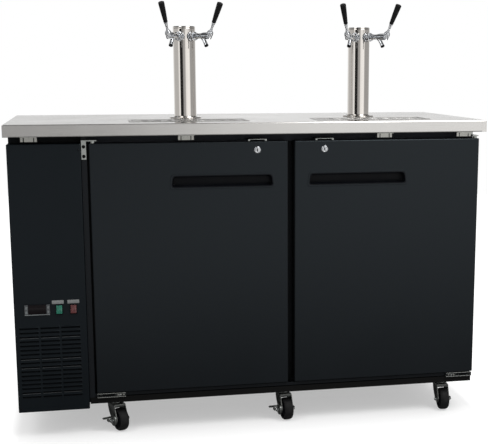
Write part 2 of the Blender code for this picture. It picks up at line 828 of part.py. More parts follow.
def cam_space(side, rise, bottom, top):
    """Corners of the space that the turning cam sweeps above the given rise."""
    place = lock_place(side)
    free = door_side(side)[3]
    tip = math.hypot(CAM_LENGTH, CAM_WIDTH / 2) + CAM_CLEARANCE
    reach = math.sqrt(tip ** 2 - rise ** 2)
    ends = sorted((place - free * reach, place + free * (CAM_WIDTH / 2 + CAM_CLEARANCE)))
    cam_front = Y_DOOR_FRONT - FIT + LOCK_BARREL_LENGTH
    return ((ends[0], cam_front - CAM_CLEARANCE, bottom),
            (ends[1], cam_front + CAM_THICKNESS + CAM_CLEARANCE, top))


def hinge_holes(side):
    """One cutter for the pins' holes in the door's top and bottom."""
    pivot = door_side(side)[2]
    y = Y_DOOR_FRONT + PIVOT_INSET
    radius = HINGE_PIN_RADIUS + HINGE_PIN_CLEARANCE
    depth = HINGE_PIN_LENGTH + HINGE_PIN_CLEARANCE
    shape = bmesh.new()
    add_rod(shape, (pivot, y, Z_DOOR_BOTTOM - OVERRUN), (pivot, y, Z_DOOR_BOTTOM + depth), radius, 16)
    add_rod(shape, (pivot, y, Z_DOOR_TOP - depth), (pivot, y, Z_DOOR_TOP + OVERRUN), radius, 16)
    return object_from_bmesh("hinge_holes", shape)


def make_door_skin(side):
    """The outer steel pan with its pressed handle recess, lock hole and cam slot."""
    left, right, _, _ = door_side(side)
    skin = open_box("skin", (left, Y_DOOR_FRONT, Z_DOOR_BOTTOM),
                    (right, Y_DOOR_BACK - SKIN_BACK_STEP, Z_DOOR_TOP), ("+Y",), SKIN_SHEET,
                    SKIN_EDGE_RADIUS)
    pocket = prism("pocket", [handle_outline(side, POCKET_WALL)], "Y",
                   Y_DOOR_FRONT + SKIN_SHEET / 2, Y_DOOR_FRONT + POCKET_DEPTH)
    hollow = prism("pocket_hollow", [handle_outline(side, 0.0)], "Y",
                   Y_DOOR_FRONT - OVERRUN, Y_DOOR_FRONT + POCKET_DEPTH - POCKET_WALL)
    slot = box("cam_slot", *cam_space(side, LOCK_DROP - SKIN_SHEET,
                                      Z_DOOR_TOP - SKIN_SHEET - OVERRUN, Z_DOOR_TOP + OVERRUN))
    bore = rod("lock_hole", (lock_place(side), Y_DOOR_FRONT - OVERRUN, Z_CAM),
               (lock_place(side), Y_DOOR_FRONT + SKIN_SHEET + OVERRUN, Z_CAM),
               LOCK_BARREL_RADIUS + FIT)
    fuse(skin, pocket)
    cut(skin, hollow, slot, bore, hinge_holes(side))
    node(side + "_door_skin", "black_steel", skin, frame=door_frame(side))


def make_door_panel(side):
    """The foam-filled inner panel, hollowed for the handle recess, lock and pins."""
    left, right, _, _ = door_side(side)
    inset = SKIN_SHEET + FIT
    panel = box("panel", (left + inset, Y_DOOR_FRONT + inset, Z_DOOR_BOTTOM + inset),
                (right - inset, Y_DOOR_BACK, Z_DOOR_TOP - inset))
    bevel = panel.modifiers.new("edges", "BEVEL")
    bevel.width = PANEL_EDGE_RADIUS
    bevel.segments = 1
    pocket = prism("pocket_space", [handle_outline(side, POCKET_WALL + FIT)], "Y",
                   Y_DOOR_FRONT - OVERRUN, Y_DOOR_FRONT + POCKET_DEPTH + FIT)
    barrel = rod("barrel_space", (lock_place(side), Y_DOOR_FRONT - OVERRUN, Z_CAM),
                 (lock_place(side), Y_DOOR_FRONT + LOCK_BARREL_LENGTH + CAM_THICKNESS, Z_CAM),
                 LOCK_BARREL_RADIUS + FIT)
    sweep = box("cam_space", *cam_space(side, 0.0, Z_CAM - CAM_WIDTH / 2 - CAM_CLEARANCE,
                                        Z_DOOR_TOP + OVERRUN))
    cut(panel, pocket, sweep, barrel, hinge_holes(side))
    node(side + "_door_panel", "white_liner", panel, frame=door_frame(side))


def make_gasket(side):
    """The magnetic seal around the back of the door."""
    left, right, _, _ = door_side(side)
    outer = grown(((left, Z_DOOR_BOTTOM), (right, Z_DOOR_TOP)), -GASKET_INSET)
    inner = grown(outer, -GASKET_WIDTH)
    outlines = [rounded_outline(*outer, GASKET_CORNER, steps=2), rectangle(*inner)]
    seal = prism("gasket", outlines, "Y", Y_DOOR_BACK + FIT, Y_FRAME - FIT)
    node(side + "_door_gasket", "rubber", seal, frame=door_frame(side))


def make_lock(side):
    """The key plug with its keyway, barrel and cam. The cam lies level when unlocked."""
    place = lock_place(side)
    free = door_side(side)[3]
    back = Y_DOOR_FRONT - FIT
    front = back - LOCK_FACE_THICKNESS
    cam_front = back + LOCK_BARREL_LENGTH
    plug = rod("plug", (place, front, Z_CAM), (place, back, Z_CAM), LOCK_FACE_RADIUS, 20)
    barrel = rod("barrel", (place, (front + back) / 2, Z_CAM),
                 (place, cam_front + CAM_THICKNESS / 2, Z_CAM), LOCK_BARREL_RADIUS)
    ends = sorted((place - free * CAM_LENGTH, place + free * CAM_WIDTH / 2))
    cam = box("cam", (ends[0], cam_front, Z_CAM - CAM_WIDTH / 2),
              (ends[1], cam_front + CAM_THICKNESS, Z_CAM + CAM_WIDTH / 2))
    keyway = box("keyway",
                 (place - KEYHOLE_WIDTH / 2, front - OVERRUN, Z_CAM - KEYHOLE_HEIGHT / 2),
                 (place + KEYHOLE_WIDTH / 2, front + KEYHOLE_DEPTH, Z_CAM + KEYHOLE_HEIGHT / 2))
    fuse(plug, barrel, cam)
    cut(plug, keyway)
    frame = Matrix.Translation((place, Y_DOOR_FRONT, Z_CAM))
    node(side + "_lock", "polished", plug, frame=frame)


def lock_strike(side):
    """The plate over the door's top that the lock's cam rises into."""
    place = lock_place(side)
    bottom = Z_DOOR_TOP + STRIKE_RISE
    top = bottom + STRIKE_SHEET
    left = place - STRIKE_WIDTH / 2
    right = place + STRIKE_WIDTH / 2
    plate = box("strike", (left, Y_DOOR_FRONT, bottom), (right, Y_FRAME + FRAME_THICKNESS / 2, top))
    ear_low = bottom - STRIKE_EAR_DROP
    ear_back = Y_DOOR_FRONT + STRIKE_SHEET
    ear_top = (bottom + top) / 2
    ears = [((left + FIT, Y_DOOR_FRONT + FIT, ear_low), (left + STRIKE_EAR_WIDTH, ear_back, ear_top)),
            ((right - STRIKE_EAR_WIDTH, Y_DOOR_FRONT + FIT, ear_low), (right - FIT, ear_back, ear_top))]
    slot = box("strike_slot", *cam_space(side, LOCK_DROP + STRIKE_RISE,
                                         bottom - OVERRUN, top + OVERRUN))
    fuse(plate, boxes("strike_ears", ears))
    return cut(plate, slot)


def make_top_hinge(side):
    """An arm over the door's top with the pin that the door turns on."""
    _, _, pivot, free = door_side(side)
    y = Y_DOOR_FRONT + PIVOT_INSET
    arm_low = Z_DOOR_TOP + HINGE_ARM_RISE
    arm_high = arm_low + HINGE_SHEET
    middle = (arm_low + arm_high) / 2
    y_front = y - HINGE_ARM_OVERRUN
    y_back = y + HINGE_ARM_OVERRUN
    inner = pivot + free * HINGE_ARM_OVERRUN
    if side == "left":
        leg_left = X_BODY_LEFT + HINGE_LEG_INSET
        plate_back = Y_RAIL - FIT
        arm = prism("arm", [[(leg_left, y_front), (inner, y_front), (inner, y_back),
                             (X_POST_RIGHT + FIT, y_back), (X_POST_RIGHT + FIT, plate_back),
                             (leg_left, plate_back)]], "Z", arm_low, arm_high)
        leg = box("leg", (leg_left + FIT, plate_back - HINGE_SHEET, arm_high - HINGE_LEG_HEIGHT),
                  (leg_left + HINGE_LEG_WIDTH, plate_back - FIT / 2, middle))
    else:
        outer = pivot - free * (PIVOT_INSET - BODY_SIDE_STEP)
        back = Y_FRAME - FIT
        ends = sorted((inner, outer))
        arm = box("arm", (ends[0], y_front, arm_low), (ends[1], back, arm_high))
        leg = box("leg", (ends[0] + FIT, back - HINGE_SHEET, middle),
                  (ends[1] - FIT, back - FIT / 2, Z_SKIRT - HINGE_ARM_RISE / 2))
    pin = rod("pin", (pivot, y, Z_DOOR_TOP - HINGE_PIN_LENGTH), (pivot, y, middle),
              HINGE_PIN_RADIUS)
    collar = rod("collar", (pivot, y, Z_DOOR_TOP + FIT), (pivot, y, middle), HINGE_COLLAR_RADIUS)
    fuse(arm, leg, collar, pin)
    node("top_" + side + "_hinge", "zinc", arm)


def make_foot_hinge(side):
    """A slotted angle on the base rail with the pin below the door."""
    left, right, pivot, free = door_side(side)
    y = Y_DOOR_FRONT + PIVOT_INSET
    bottom = Z_RAIL_TOP + FIT
    deck = bottom + FOOT_HINGE_SHEET
    y_front = y - HINGE_ARM_OVERRUN + FOOT_HINGE_SHEET / 2
    outer = left if free > 0 else right - BODY_SIDE_STEP
    ends = sorted((outer, outer + free * FOOT_HINGE_LENGTH))
    outline = [(y_front, bottom), (Y_FRAME - FIT, bottom), (Y_FRAME - FIT, deck),
               (y_front + FOOT_HINGE_SHEET, deck),
               (y_front + FOOT_HINGE_SHEET, bottom + FOOT_HINGE_HEIGHT),
               (y_front, bottom + FOOT_HINGE_HEIGHT)]
    angle = prism("foot_hinge", [outline], "X", *ends)
    slot_ends = sorted((outer + free * FOOT_SLOT_MARGIN,
                        outer + free * FOOT_HINGE_LENGTH * FOOT_SLOT_SHARE))
    slot = box("foot_slot", (slot_ends[0], y_front - OVERRUN, deck + FOOT_HINGE_SHEET),
               (slot_ends[1], y_front + FOOT_HINGE_SHEET + FIT,
                bottom + FOOT_HINGE_HEIGHT - FOOT_HINGE_SHEET))
    middle = (bottom + deck) / 2
    collar = rod("collar", (pivot, y, middle), (pivot, y, Z_DOOR_BOTTOM - FIT), HINGE_COLLAR_RADIUS)
    pin = rod("pin", (pivot, y, middle), (pivot, y, Z_DOOR_BOTTOM + HINGE_PIN_LENGTH),
              HINGE_PIN_RADIUS)
    cut(angle, slot)
    fuse(angle, collar, pin)
    node("bottom_" + side + "_hinge", "zinc", angle)


# Cabinet

def make_casing():
    """The welded outer casing: the cabinet's sheets and the machine bay beside them."""
    partition = X_BODY_LEFT + CASING_SHEET
    bay = open_box("bay", (X_BAY_LEFT, Y_PANELS, Z_BAY), (partition, Y_BODY_BACK, Z_BODY_TOP),
                   ("-Y",), CASING_SHEET)
    inside = (X_BODY_LEFT + partition) / 2
    cabinet = open_box("cabinet", (inside, Y_PANELS, LINER_LOW.z),
                       (X_BODY_RIGHT, Y_BODY_BACK, Z_BODY_TOP), ("-X", "-Y", "-Z"), CASING_SHEET)
    header = box("header", (X_BAY_LEFT + CASING_SHEET / 2, Y_PANELS + FIT, Z_BODY_TOP - HEADER_HEIGHT),
                 (inside, Y_PANELS + FIT + CASING_SHEET, Z_BODY_TOP - CASING_SHEET / 2))
    vents = []
    for row in range(BAY_VENTS):
        top = Z_BODY_TOP - VENT_TOP - row * VENT_PITCH
        vents.append(((X_BAY_LEFT + VENT_MARGIN, Y_BODY_BACK - OVERRUN, top - VENT_SLOT),
                      (X_BODY_LEFT - VENT_MARGIN, Y_BODY_BACK + OVERRUN, top)))
    x, z = gland_place()
    bore = rod("gland_bore", (x, Y_BODY_BACK - OVERRUN, z), (x, Y_BODY_BACK + OVERRUN, z),
               GLAND_BORE_RADIUS + FIT)
    fuse(bay, cabinet, header)
    cut(bay, boxes("rear_vents", vents), bore, tower_bores(), tray_openings())
    node("outer_casing", "black_steel", bay)


def make_base_frame():
    """The floor sheet with its front rail, and the plates and races of the six casters."""
    left = LINER_LOW.x
    rail_back = Y_FRAME - FIT
    outline = [(Y_RAIL, Z_CABINET), (Y_BODY_BACK, Z_CABINET),
               (Y_BODY_BACK, Z_CABINET + CASING_SHEET),
               (Y_RAIL + CASING_SHEET, Z_CABINET + CASING_SHEET),
               (Y_RAIL + CASING_SHEET, Z_RAIL_TOP - CASING_SHEET),
               (rail_back, Z_RAIL_TOP - CASING_SHEET), (rail_back, Z_RAIL_TOP),
               (Y_RAIL, Z_RAIL_TOP)]
    floor = prism("floor", [outline], "X", left, X_BODY_RIGHT)
    plates = []
    bores = bmesh.new()
    races = []
    for name in CASTER_TURNS:
        x, y, _ = caster_frame(name).translation
        plates.append(((x - CASTER_PLATE_X / 2, y - CASTER_PLATE_Y / 2, Z_PLATE),
                       (x + CASTER_PLATE_X / 2, y + CASTER_PLATE_Y / 2, Z_CABINET + CASING_SHEET / 2)))
        races.append(rod("race", (x, y, Z_RACE), (x, y, (Z_PLATE + Z_CABINET) / 2), RACE_RADIUS, 20))
        add_rod(bores, (x, y, Z_RACE - OVERRUN), (x, y, Z_RACE + KINGPIN_LENGTH + KINGPIN_CLEARANCE),
                KINGPIN_RADIUS + KINGPIN_CLEARANCE, 16)
    fuse(floor, boxes("caster_plates", plates), *races)
    cut(floor, object_from_bmesh("kingpin_bores", bores))
    node("base_frame", "zinc", floor)


def gland_place():
    return X_BAY_LEFT + GLAND_SIDE, Z_BAY + GLAND_RISE


def make_cord_gland():
    """The bush where the mains cord enters the bay."""
    profile = [(GLAND_BORE_RADIUS, GLAND_INNER), (GLAND_BORE_RADIUS, -FIT),
               (GLAND_FLANGE_RADIUS, -FIT), (GLAND_FLANGE_RADIUS, -GLAND_FLANGE),
               (GLAND_HOLE_RADIUS, -GLAND_FLANGE), (GLAND_HOLE_RADIUS, GLAND_INNER)]
    x, z = gland_place()
    bush = turned("gland", profile, 16, closed=True)
    moved(bush, Matrix.Translation((x, Y_BODY_BACK, z)) @ Matrix.Rotation(math.radians(90), 4, "X"))
    node("cord_gland", "black_plastic", bush)


def make_liner():
    """The insulated tank: liner and foam bonded as one, open to the front."""
    tank = box("tank", LINER_LOW, LINER_HIGH)
    cavity = box("cavity", (CAVITY_LOW.x, CAVITY_LOW.y - OVERRUN, CAVITY_LOW.z), CAVITY_HIGH)
    cut(tank, cavity, tower_bores())
    node("insulated_liner", "white_liner", tank)


def make_front_frame():
    """Rails, stiles and mullion that the doors close against, the hinge post and strikes."""
    half = MULLION_WIDTH / 2
    outer = rectangle((X_BODY_LEFT, LINER_LOW.z), (X_BODY_RIGHT, Z_BODY_TOP))
    windows = [rectangle((CAVITY_LOW.x, CAVITY_LOW.z), (X_DOORS_MIDDLE - half, CAVITY_HIGH.z)),
               rectangle((X_DOORS_MIDDLE + half, CAVITY_LOW.z), (CAVITY_HIGH.x, CAVITY_HIGH.z))]
    frame = prism("frame", [outer, *windows], "Y", Y_FRAME, Y_FRAME + FRAME_THICKNESS)
    post = open_box("hinge_post", (X_BODY_LEFT + FIT / 2, Y_RAIL, Z_RAIL_TOP + FIT),
                    (X_POST_RIGHT, Y_FRAME + FRAME_THICKNESS / 2, Z_POST_TOP), ("+Y", "-Z"),
                    CASING_SHEET)
    fuse(frame, post, lock_strike("left"), lock_strike("right"))
    node("front_frame", "black_steel", frame)


# Machine bay cover with its controls

def control_corners(left, top, width, height):
    """Corners across and up of something that is set out from the cover's top left."""
    x = X_COVER_LEFT + left
    z = Z_DOOR_TOP - top
    return (x, z - height), (x + width, z)


def solid_corners(corners, front, back):
    (left, bottom), (right, top) = corners
    return (left, front, bottom), (right, back, top)


def controller_corners():
    return control_corners(CONTROLLER_LEFT, CONTROLLER_TOP, CONTROLLER_WIDTH, CONTROLLER_HEIGHT)


def controller_body_corners():
    (left, bottom), (right, top) = controller_corners()
    x = (left + right) / 2
    z = (bottom + top) / 2
    return ((x - CONTROLLER_BODY_WIDTH / 2, z - CONTROLLER_BODY_HEIGHT / 2),
            (x + CONTROLLER_BODY_WIDTH / 2, z + CONTROLLER_BODY_HEIGHT / 2))


def switch_corners(index):
    return control_corners(SWITCH_LEFTS[index], SWITCH_TOP, SWITCH_WIDTH, SWITCH_HEIGHT)


def louvre_slots():
    """Corners of every louvre slot, row by row."""
    left = X_COVER_LEFT + LOUVRE_LEFT
    width = COVER_WIDTH - LOUVRE_LEFT - LOUVRE_RIGHT
    column = (width + LOUVRE_BAR) / LOUVRE_COLUMNS
    slots = []
    for row in range(LOUVRE_ROWS):
        top = Z_DOOR_TOP - LOUVRE_TOP - row * LOUVRE_PITCH
        for index in range(LOUVRE_COLUMNS):
            start = left + index * column
            slots.append(((start, top - LOUVRE_SLOT), (start + column - LOUVRE_BAR, top)))
    return slots


def make_grille_cover():
    """The machine bay's front: a folded sheet with louvres and holes for the controls."""
    front = Y_DOOR_FRONT - OVERRUN
    back = Y_DOOR_FRONT + COVER_SHEET + OVERRUN
    cover = open_box("cover", (X_COVER_LEFT, Y_DOOR_FRONT, Z_BAY),
                     (X_COVER_RIGHT, Y_PANELS - FIT, Z_DOOR_TOP), ("+Y",), COVER_SHEET,
                     COVER_EDGE_RADIUS)
    windows = [grown(controller_body_corners(), FIT)]
    windows += [grown(switch_corners(index), FIT - SWITCH_RIM + SWITCH_WALL) for index in (0, 1)]
    windows += louvre_slots()
    cut(cover, boxes("cover_windows", [solid_corners(window, front, back) for window in windows]))
    node("grille_cover", "black_steel", cover)


def make_controller():
    """The thermostat: a bezel on the cover and its body behind."""
    back = Y_DOOR_FRONT - FIT
    bezel = box("bezel", *solid_corners(controller_corners(), back - CONTROLLER_BEZEL, back))
    body = box("controller_body", *solid_corners(controller_body_corners(), back - CONTROLLER_BEZEL / 2,
                                                 back + CONTROLLER_BODY_DEPTH))
    node("controller", "grey_plastic", fuse(bezel, body))


def make_switch_block():
    """Rims on the cover with closed wells behind them, joined by a strap behind the cover."""
    back = Y_DOOR_FRONT - FIT
    front = back - SWITCH_BEZEL
    well_back = back + SWITCH_DEPTH
    rims = []
    wells = []
    hollows = []
    for index in (0, 1):
        corners = switch_corners(index)
        rims.append(solid_corners(corners, front, back))
        wells.append(solid_corners(grown(corners, SWITCH_WALL - SWITCH_RIM),
                                   (front + back) / 2, well_back))
        hollows.append(solid_corners(grown(corners, -SWITCH_RIM), front - OVERRUN,
                                     well_back - SWITCH_WALL))
    strap_front = Y_DOOR_FRONT + COVER_SHEET + FIT
    middle = (wells[0][0][2] + wells[0][1][2]) / 2
    strap = box("strap", (wells[0][1][0] - SWITCH_WALL / 2, strap_front, middle - SWITCH_STRAP / 2),
                (wells[1][0][0] + SWITCH_WALL / 2, strap_front + SWITCH_STRAP_SHEET,
                 middle + SWITCH_STRAP / 2))
    block = boxes("rims", rims)
    fuse(block, boxes("wells", wells), strap)
    cut(block, boxes("well_hollows", hollows))
    node("switch_block", "black_plastic", block)


def rocker_frame(index):
    (left, bottom), (right, top) = switch_corners(index)
    y = Y_DOOR_FRONT - FIT - SWITCH_BEZEL + ROCKER_PIVOT_DEPTH
    return Matrix.Translation(((left + right) / 2, y, (bottom + top) / 2))


def make_rocker(index, name, finish):
    """A dished rocker on its pivot, pressed at the top when at rest."""
    half = SWITCH_WIDTH / 2 - SWITCH_RIM - ROCKER_SIDE_GAP
    outline = [(-ROCKER_REACH, ROCKER_HALF_HEIGHT), (ROCKER_DISH - ROCKER_REACH, 0),
               (-ROCKER_REACH, -ROCKER_HALF_HEIGHT), (0, -ROCKER_HALF_HEIGHT),
               (ROCKER_BACK, 0), (0, ROCKER_HALF_HEIGHT)]
    rocker = prism(name, [outline[::-1]], "X", -half, half)
    frame = rocker_frame(index)
    moved(rocker, frame @ Matrix.Rotation(-ROCKER_TILT, 4, "X"))
    node(name, finish, rocker, frame=frame)


# Towers and faucets

def tap_frame(tower, side):
    """A tap's frame: the tower's axis at faucet height, with the spout along -Y."""
    return (tower_frame(tower) @ Matrix.Rotation(side * TAP_HALF_ANGLE, 4, "Z")
            @ Matrix.Translation((0, 0, FAUCET_HEIGHT)))


TAPS = {
    "left_tower_left": (0, -1),
    "left_tower_right": (0, 1),
    "right_tower_left": (1, -1),
    "right_tower_right": (1, 1),
}
TURN_OUT = Matrix.Rotation(math.radians(90), 4, "X")    # takes +Z to -Y


def make_column(tower, name):
    """The tower's closed tube on its flange, with a hole for each shank."""
    outer = COLUMN_RADIUS
    inner = COLUMN_RADIUS - COLUMN_WALL
    profile = [(0, COLUMN_HEIGHT), (outer - COLUMN_CHAMFER, COLUMN_HEIGHT),
               (outer, COLUMN_HEIGHT - COLUMN_CHAMFER), (outer, FLANGE_THICKNESS + COLUMN_FILLET),
               (outer + COLUMN_FILLET, FLANGE_THICKNESS), (FLANGE_RADIUS, FLANGE_THICKNESS),
               (FLANGE_RADIUS, FIT), (inner, FIT), (inner, COLUMN_HEIGHT - COLUMN_WALL),
               (0, COLUMN_HEIGHT - COLUMN_WALL)]
    tube = moved(turned("column", profile, 32), tower_frame(tower))
    holes = bmesh.new()
    for place, side in TAPS.values():
        if place == tower:
            frame = tap_frame(tower, side)
            add_rod(holes, frame @ Vector((0, -SHANK_INNER, 0)),
                    frame @ Vector((0, -SHANK_OUTER, 0)), SHANK_RADIUS + FIT, 16)
    cut(tube, object_from_bmesh("shank_holes", holes))
    node(name, "stainless", tube)


def make_faucet(tower, side, name):
    """One faucet on its shank: inner elbow, saddle collar, nut, body, spout and bonnet."""
    frame = tap_frame(tower, side)
    profile = [(0, BODY_END), (BODY_RADIUS - BODY_NOSE, BODY_END), (BODY_RADIUS, BODY_END - BODY_NOSE),
               (BODY_RADIUS, BODY_SHOULDER), (BODY_NECK_RADIUS, BODY_NECK_END),
               (BODY_NECK_RADIUS, NUT_END), (NUT_RADIUS, NUT_END), (NUT_RADIUS, NUT_START),
               (0, NUT_START)]
    body = moved(turned("body", profile, 16), frame @ TURN_OUT)
    collar = rod("collar", (0, -SHANK_COLLAR_START, 0), (0, -SHANK_COLLAR_END, 0),
                 SHANK_COLLAR_RADIUS, 20)
    saddle = rod("saddle", (0, 0, -SHANK_COLLAR_RADIUS - OVERRUN),
                 (0, 0, SHANK_COLLAR_RADIUS + OVERRUN), COLUMN_RADIUS + FIT, 32)
    inner = BARB_RADIUS + FIT - SHANK_INNER
    shank = rod("shank", (0, inner, 0), (0, -SHANK_OUTER, 0), SHANK_RADIUS, 16)
    barb = rod("barb", (0, -SHANK_INNER, FIT), (0, -SHANK_INNER, -BARB_LENGTH), BARB_RADIUS, 14)
    top = Vector((0, -SPOUT_TOP_REACH, 0))
    tip = Vector((0, -SPOUT_TIP_REACH, -SPOUT_TIP_DROP))
    along = (tip - top).normalized()
    spout = rod("spout", top, tip, SPOUT_RADIUS, 14)
    bore = rod("spout_bore", tip - along * SPOUT_BORE_DEPTH, tip + along * OVERRUN,
               SPOUT_BORE_RADIUS, 12)
    base = Vector((0, -BONNET_REACH, 0))
    ball = base + lever_direction() * BONNET_LENGTH
    bonnet = rod("bonnet", base, ball, BONNET_RADIUS, 16)
    cup = bmesh.new()
    bmesh.ops.create_uvsphere(cup, u_segments=16, v_segments=10, radius=BALL_RADIUS + BALL_CLEARANCE,
                              matrix=Matrix.Translation(ball))
    cup = object_from_bmesh("ball_cup", cup)
    for tool in (collar, saddle, shank, barb, spout, bore, bonnet, cup):
        moved(tool, frame)
    cut(collar, saddle)
    fuse(body, collar, shank, barb, spout, bonnet)
    cut(body, bore, cup)
    node(name, "polished", body)


def lever_direction():
    return Vector((0, -math.sin(LEVER_LEAN), math.cos(LEVER_LEAN)))


def lever_frame(tower, side):
    """The lever's frame: the ball's centre, with +Z along the lever."""
    ball = Vector((0, -BONNET_REACH, 0)) + lever_direction() * BONNET_LENGTH
    return (tap_frame(tower, side) @ Matrix.Translation(ball)
            @ Matrix.Rotation(LEVER_LEAN, 4, "X"))


def lever_mesh():
    """Ball, stem, collar and stud in one turned piece."""
    arc_start = math.acos(STEM_RADIUS / BALL_RADIUS)
    steps = 6
    profile = [(0, STEM_LENGTH + STUD_LENGTH), (STUD_RADIUS, STEM_LENGTH + STUD_LENGTH),
               (STUD_RADIUS, STEM_LENGTH), (STEM_COLLAR_RADIUS, STEM_LENGTH),
               (STEM_COLLAR_RADIUS, STEM_LENGTH - STEM_COLLAR_LENGTH),
               (STEM_RADIUS, STEM_LENGTH - STEM_COLLAR_LENGTH)]
    for step in range(steps):
        angle = arc_start - (arc_start + math.pi / 2) * step / steps
        profile.append((BALL_RADIUS * math.cos(angle), BALL_RADIUS * math.sin(angle)))
    profile.append((0, -BALL_RADIUS))
    return solid_mesh(turned("lever", profile, 12))


def handle_mesh():
    """A black grip that flares to its top, with a blind bore for the lever's stud."""
    base = STEM_LENGTH + FIT
    top = base + GRIP_LENGTH
    bore = STUD_RADIUS + FIT
    bore_top = STEM_LENGTH + STUD_LENGTH + FIT
    profile = [(0, top), (GRIP_TOP_RADIUS - GRIP_CHAMFER, top), (GRIP_TOP_RADIUS, top - GRIP_CHAMFER),
               (GRIP_BASE_RADIUS, base + GRIP_CHAMFER), (GRIP_BASE_RADIUS - GRIP_CHAMFER, base),
               (bore, base), (bore, bore_top), (0, bore_top)]
    return solid_mesh(turned("handle", profile, 16))


def make_towers():
    make_column(0, "left_tower_column")
    make_column(1, "right_tower_column")
    lever = lever_mesh()
    handle = handle_mesh()
    for name, place in TAPS.items():
        make_faucet(*place, name + "_faucet")
        placed_copy(name + "_lever", "polished", lever, lever_frame(*place))
        placed_copy(name + "_handle", "black_plastic", handle, lever_frame(*place))


# Casters

def caster_frame(name):
    """A caster's frame: its kingpin axis at floor level, rolling along its own -Y."""
    row, column = name.split("_")
    steps = {"left": -1, "middle": 0, "right": 1}
    half = (X_BODY_RIGHT - X_BODY_LEFT) / 2 - CASTER_SIDE_INSET
    x = (X_BODY_LEFT + X_BODY_RIGHT) / 2 + steps[column] * half
    y = Y_COUNTER_FRONT + CASTER_INSET if row == "front" else Y_COUNTER_BACK - CASTER_INSET
    return Matrix.Translation((x, y, 0)) @ Matrix.Rotation(CASTER_TURNS[name], 4, "Z")


def axle_frame(name):
    return caster_frame(name) @ Matrix.Translation((0, -WHEEL_TRAIL, WHEEL_RADIUS))


Z_PLATE = Z_CABINET - CASTER_PLATE_THICKNESS
Z_RACE = Z_PLATE - RACE_HEIGHT
Z_CUP = Z_RACE - FIT
Z_CROWN = Z_CUP - CUP_HEIGHT - CROWN_THICKNESS
LEG_INNER = WHEEL_WIDTH / 2 + FORK_SIDE_GAP
LEG_OUTER = LEG_INNER + FORK_SHEET


def leg_outline():
    """A fork leg from the side: wide at the crown, round at the axle's eye, its back edge bowed."""
    top = Z_CROWN + CROWN_THICKNESS / 2
    points = [(CROWN_HALF_DEPTH, top), (-CROWN_HALF_DEPTH, top)]
    steps = 6
    for step in range(steps + 1):
        angle = math.pi + (LEG_EYE_END - math.pi) * step / steps
        points.append((-WHEEL_TRAIL + FORK_EYE_RADIUS * math.cos(angle),
                       WHEEL_RADIUS + FORK_EYE_RADIUS * math.sin(angle)))
    start = points[-1]
    for step in range(1, steps):
        t = step / steps
        weights = ((1 - t) ** 2, 2 * t * (1 - t), t * t)
        points.append(tuple(sum(weight * point[k] for weight, point
                                in zip(weights, (start, (LEG_BEND_Y, LEG_BEND_Z), points[0])))
                            for k in (0, 1)))
    return points


def fork_mesh(brake_room):
    """Crown, cup, kingpin, two legs, axle and nuts of a swivel fork, welded as one."""
    crown = box("crown", (FIT - LEG_OUTER, -CROWN_HALF_DEPTH - FIT, Z_CROWN),
                (LEG_OUTER - FIT, CROWN_HALF_DEPTH + FIT, Z_CROWN + CROWN_THICKNESS))
    cup = rod("cup", (0, 0, Z_CROWN + CROWN_THICKNESS / 2), (0, 0, Z_CUP), CUP_RADIUS, 20)
    kingpin = rod("kingpin", (0, 0, (Z_CROWN + Z_CUP) / 2), (0, 0, Z_RACE + KINGPIN_LENGTH),
                  KINGPIN_RADIUS, 12)
    legs = [prism("leg", [leg_outline()], "X", *sorted((side * LEG_INNER, side * LEG_OUTER)))
            for side in (-1, 1)]
    nut_starts = {-1: LEG_OUTER + brake_room if brake_room else LEG_OUTER - FIT, 1: LEG_OUTER - FIT}
    ends = {side: start + NUT_THICKNESS for side, start in nut_starts.items()}
    axle = rod("axle", (-ends[-1], -WHEEL_TRAIL, WHEEL_RADIUS), (ends[1], -WHEEL_TRAIL, WHEEL_RADIUS),
               AXLE_RADIUS, 12)
    nuts = [rod("nut", (side * nut_starts[side], -WHEEL_TRAIL, WHEEL_RADIUS),
                (side * (ends[side] - FIT), -WHEEL_TRAIL, WHEEL_RADIUS), NUT_HALF_WIDTH, 6)
            for side in (-1, 1)]
    fuse(crown, cup, *legs, kingpin, axle, *nuts)
    return solid_mesh(crown)


def wheel_mesh():
    """The tyre and hub, whose lowest flat rests on the floor at any quarter turn."""
    corner = 1 / math.cos(math.pi / WHEEL_SIDES)
    half = WHEEL_WIDTH / 2
    bore = AXLE_RADIUS + AXLE_CLEARANCE
    rim = WHEEL_RADIUS - WHEEL_EDGE
    profile = [(bore, half), (rim * corner, half), (WHEEL_RADIUS * corner, half - WHEEL_EDGE),
               (WHEEL_RADIUS * corner, WHEEL_EDGE - half), (rim * corner, -half), (bore, -half)]
    wheel = turned("wheel", profile, WHEEL_SIDES, closed=True)
    half_step = Matrix.Rotation(math.pi / WHEEL_SIDES, 4, "Z")
    lie_down = Matrix.Rotation(math.radians(90), 4, "Y")
    return solid_mesh(moved(wheel, lie_down @ half_step))


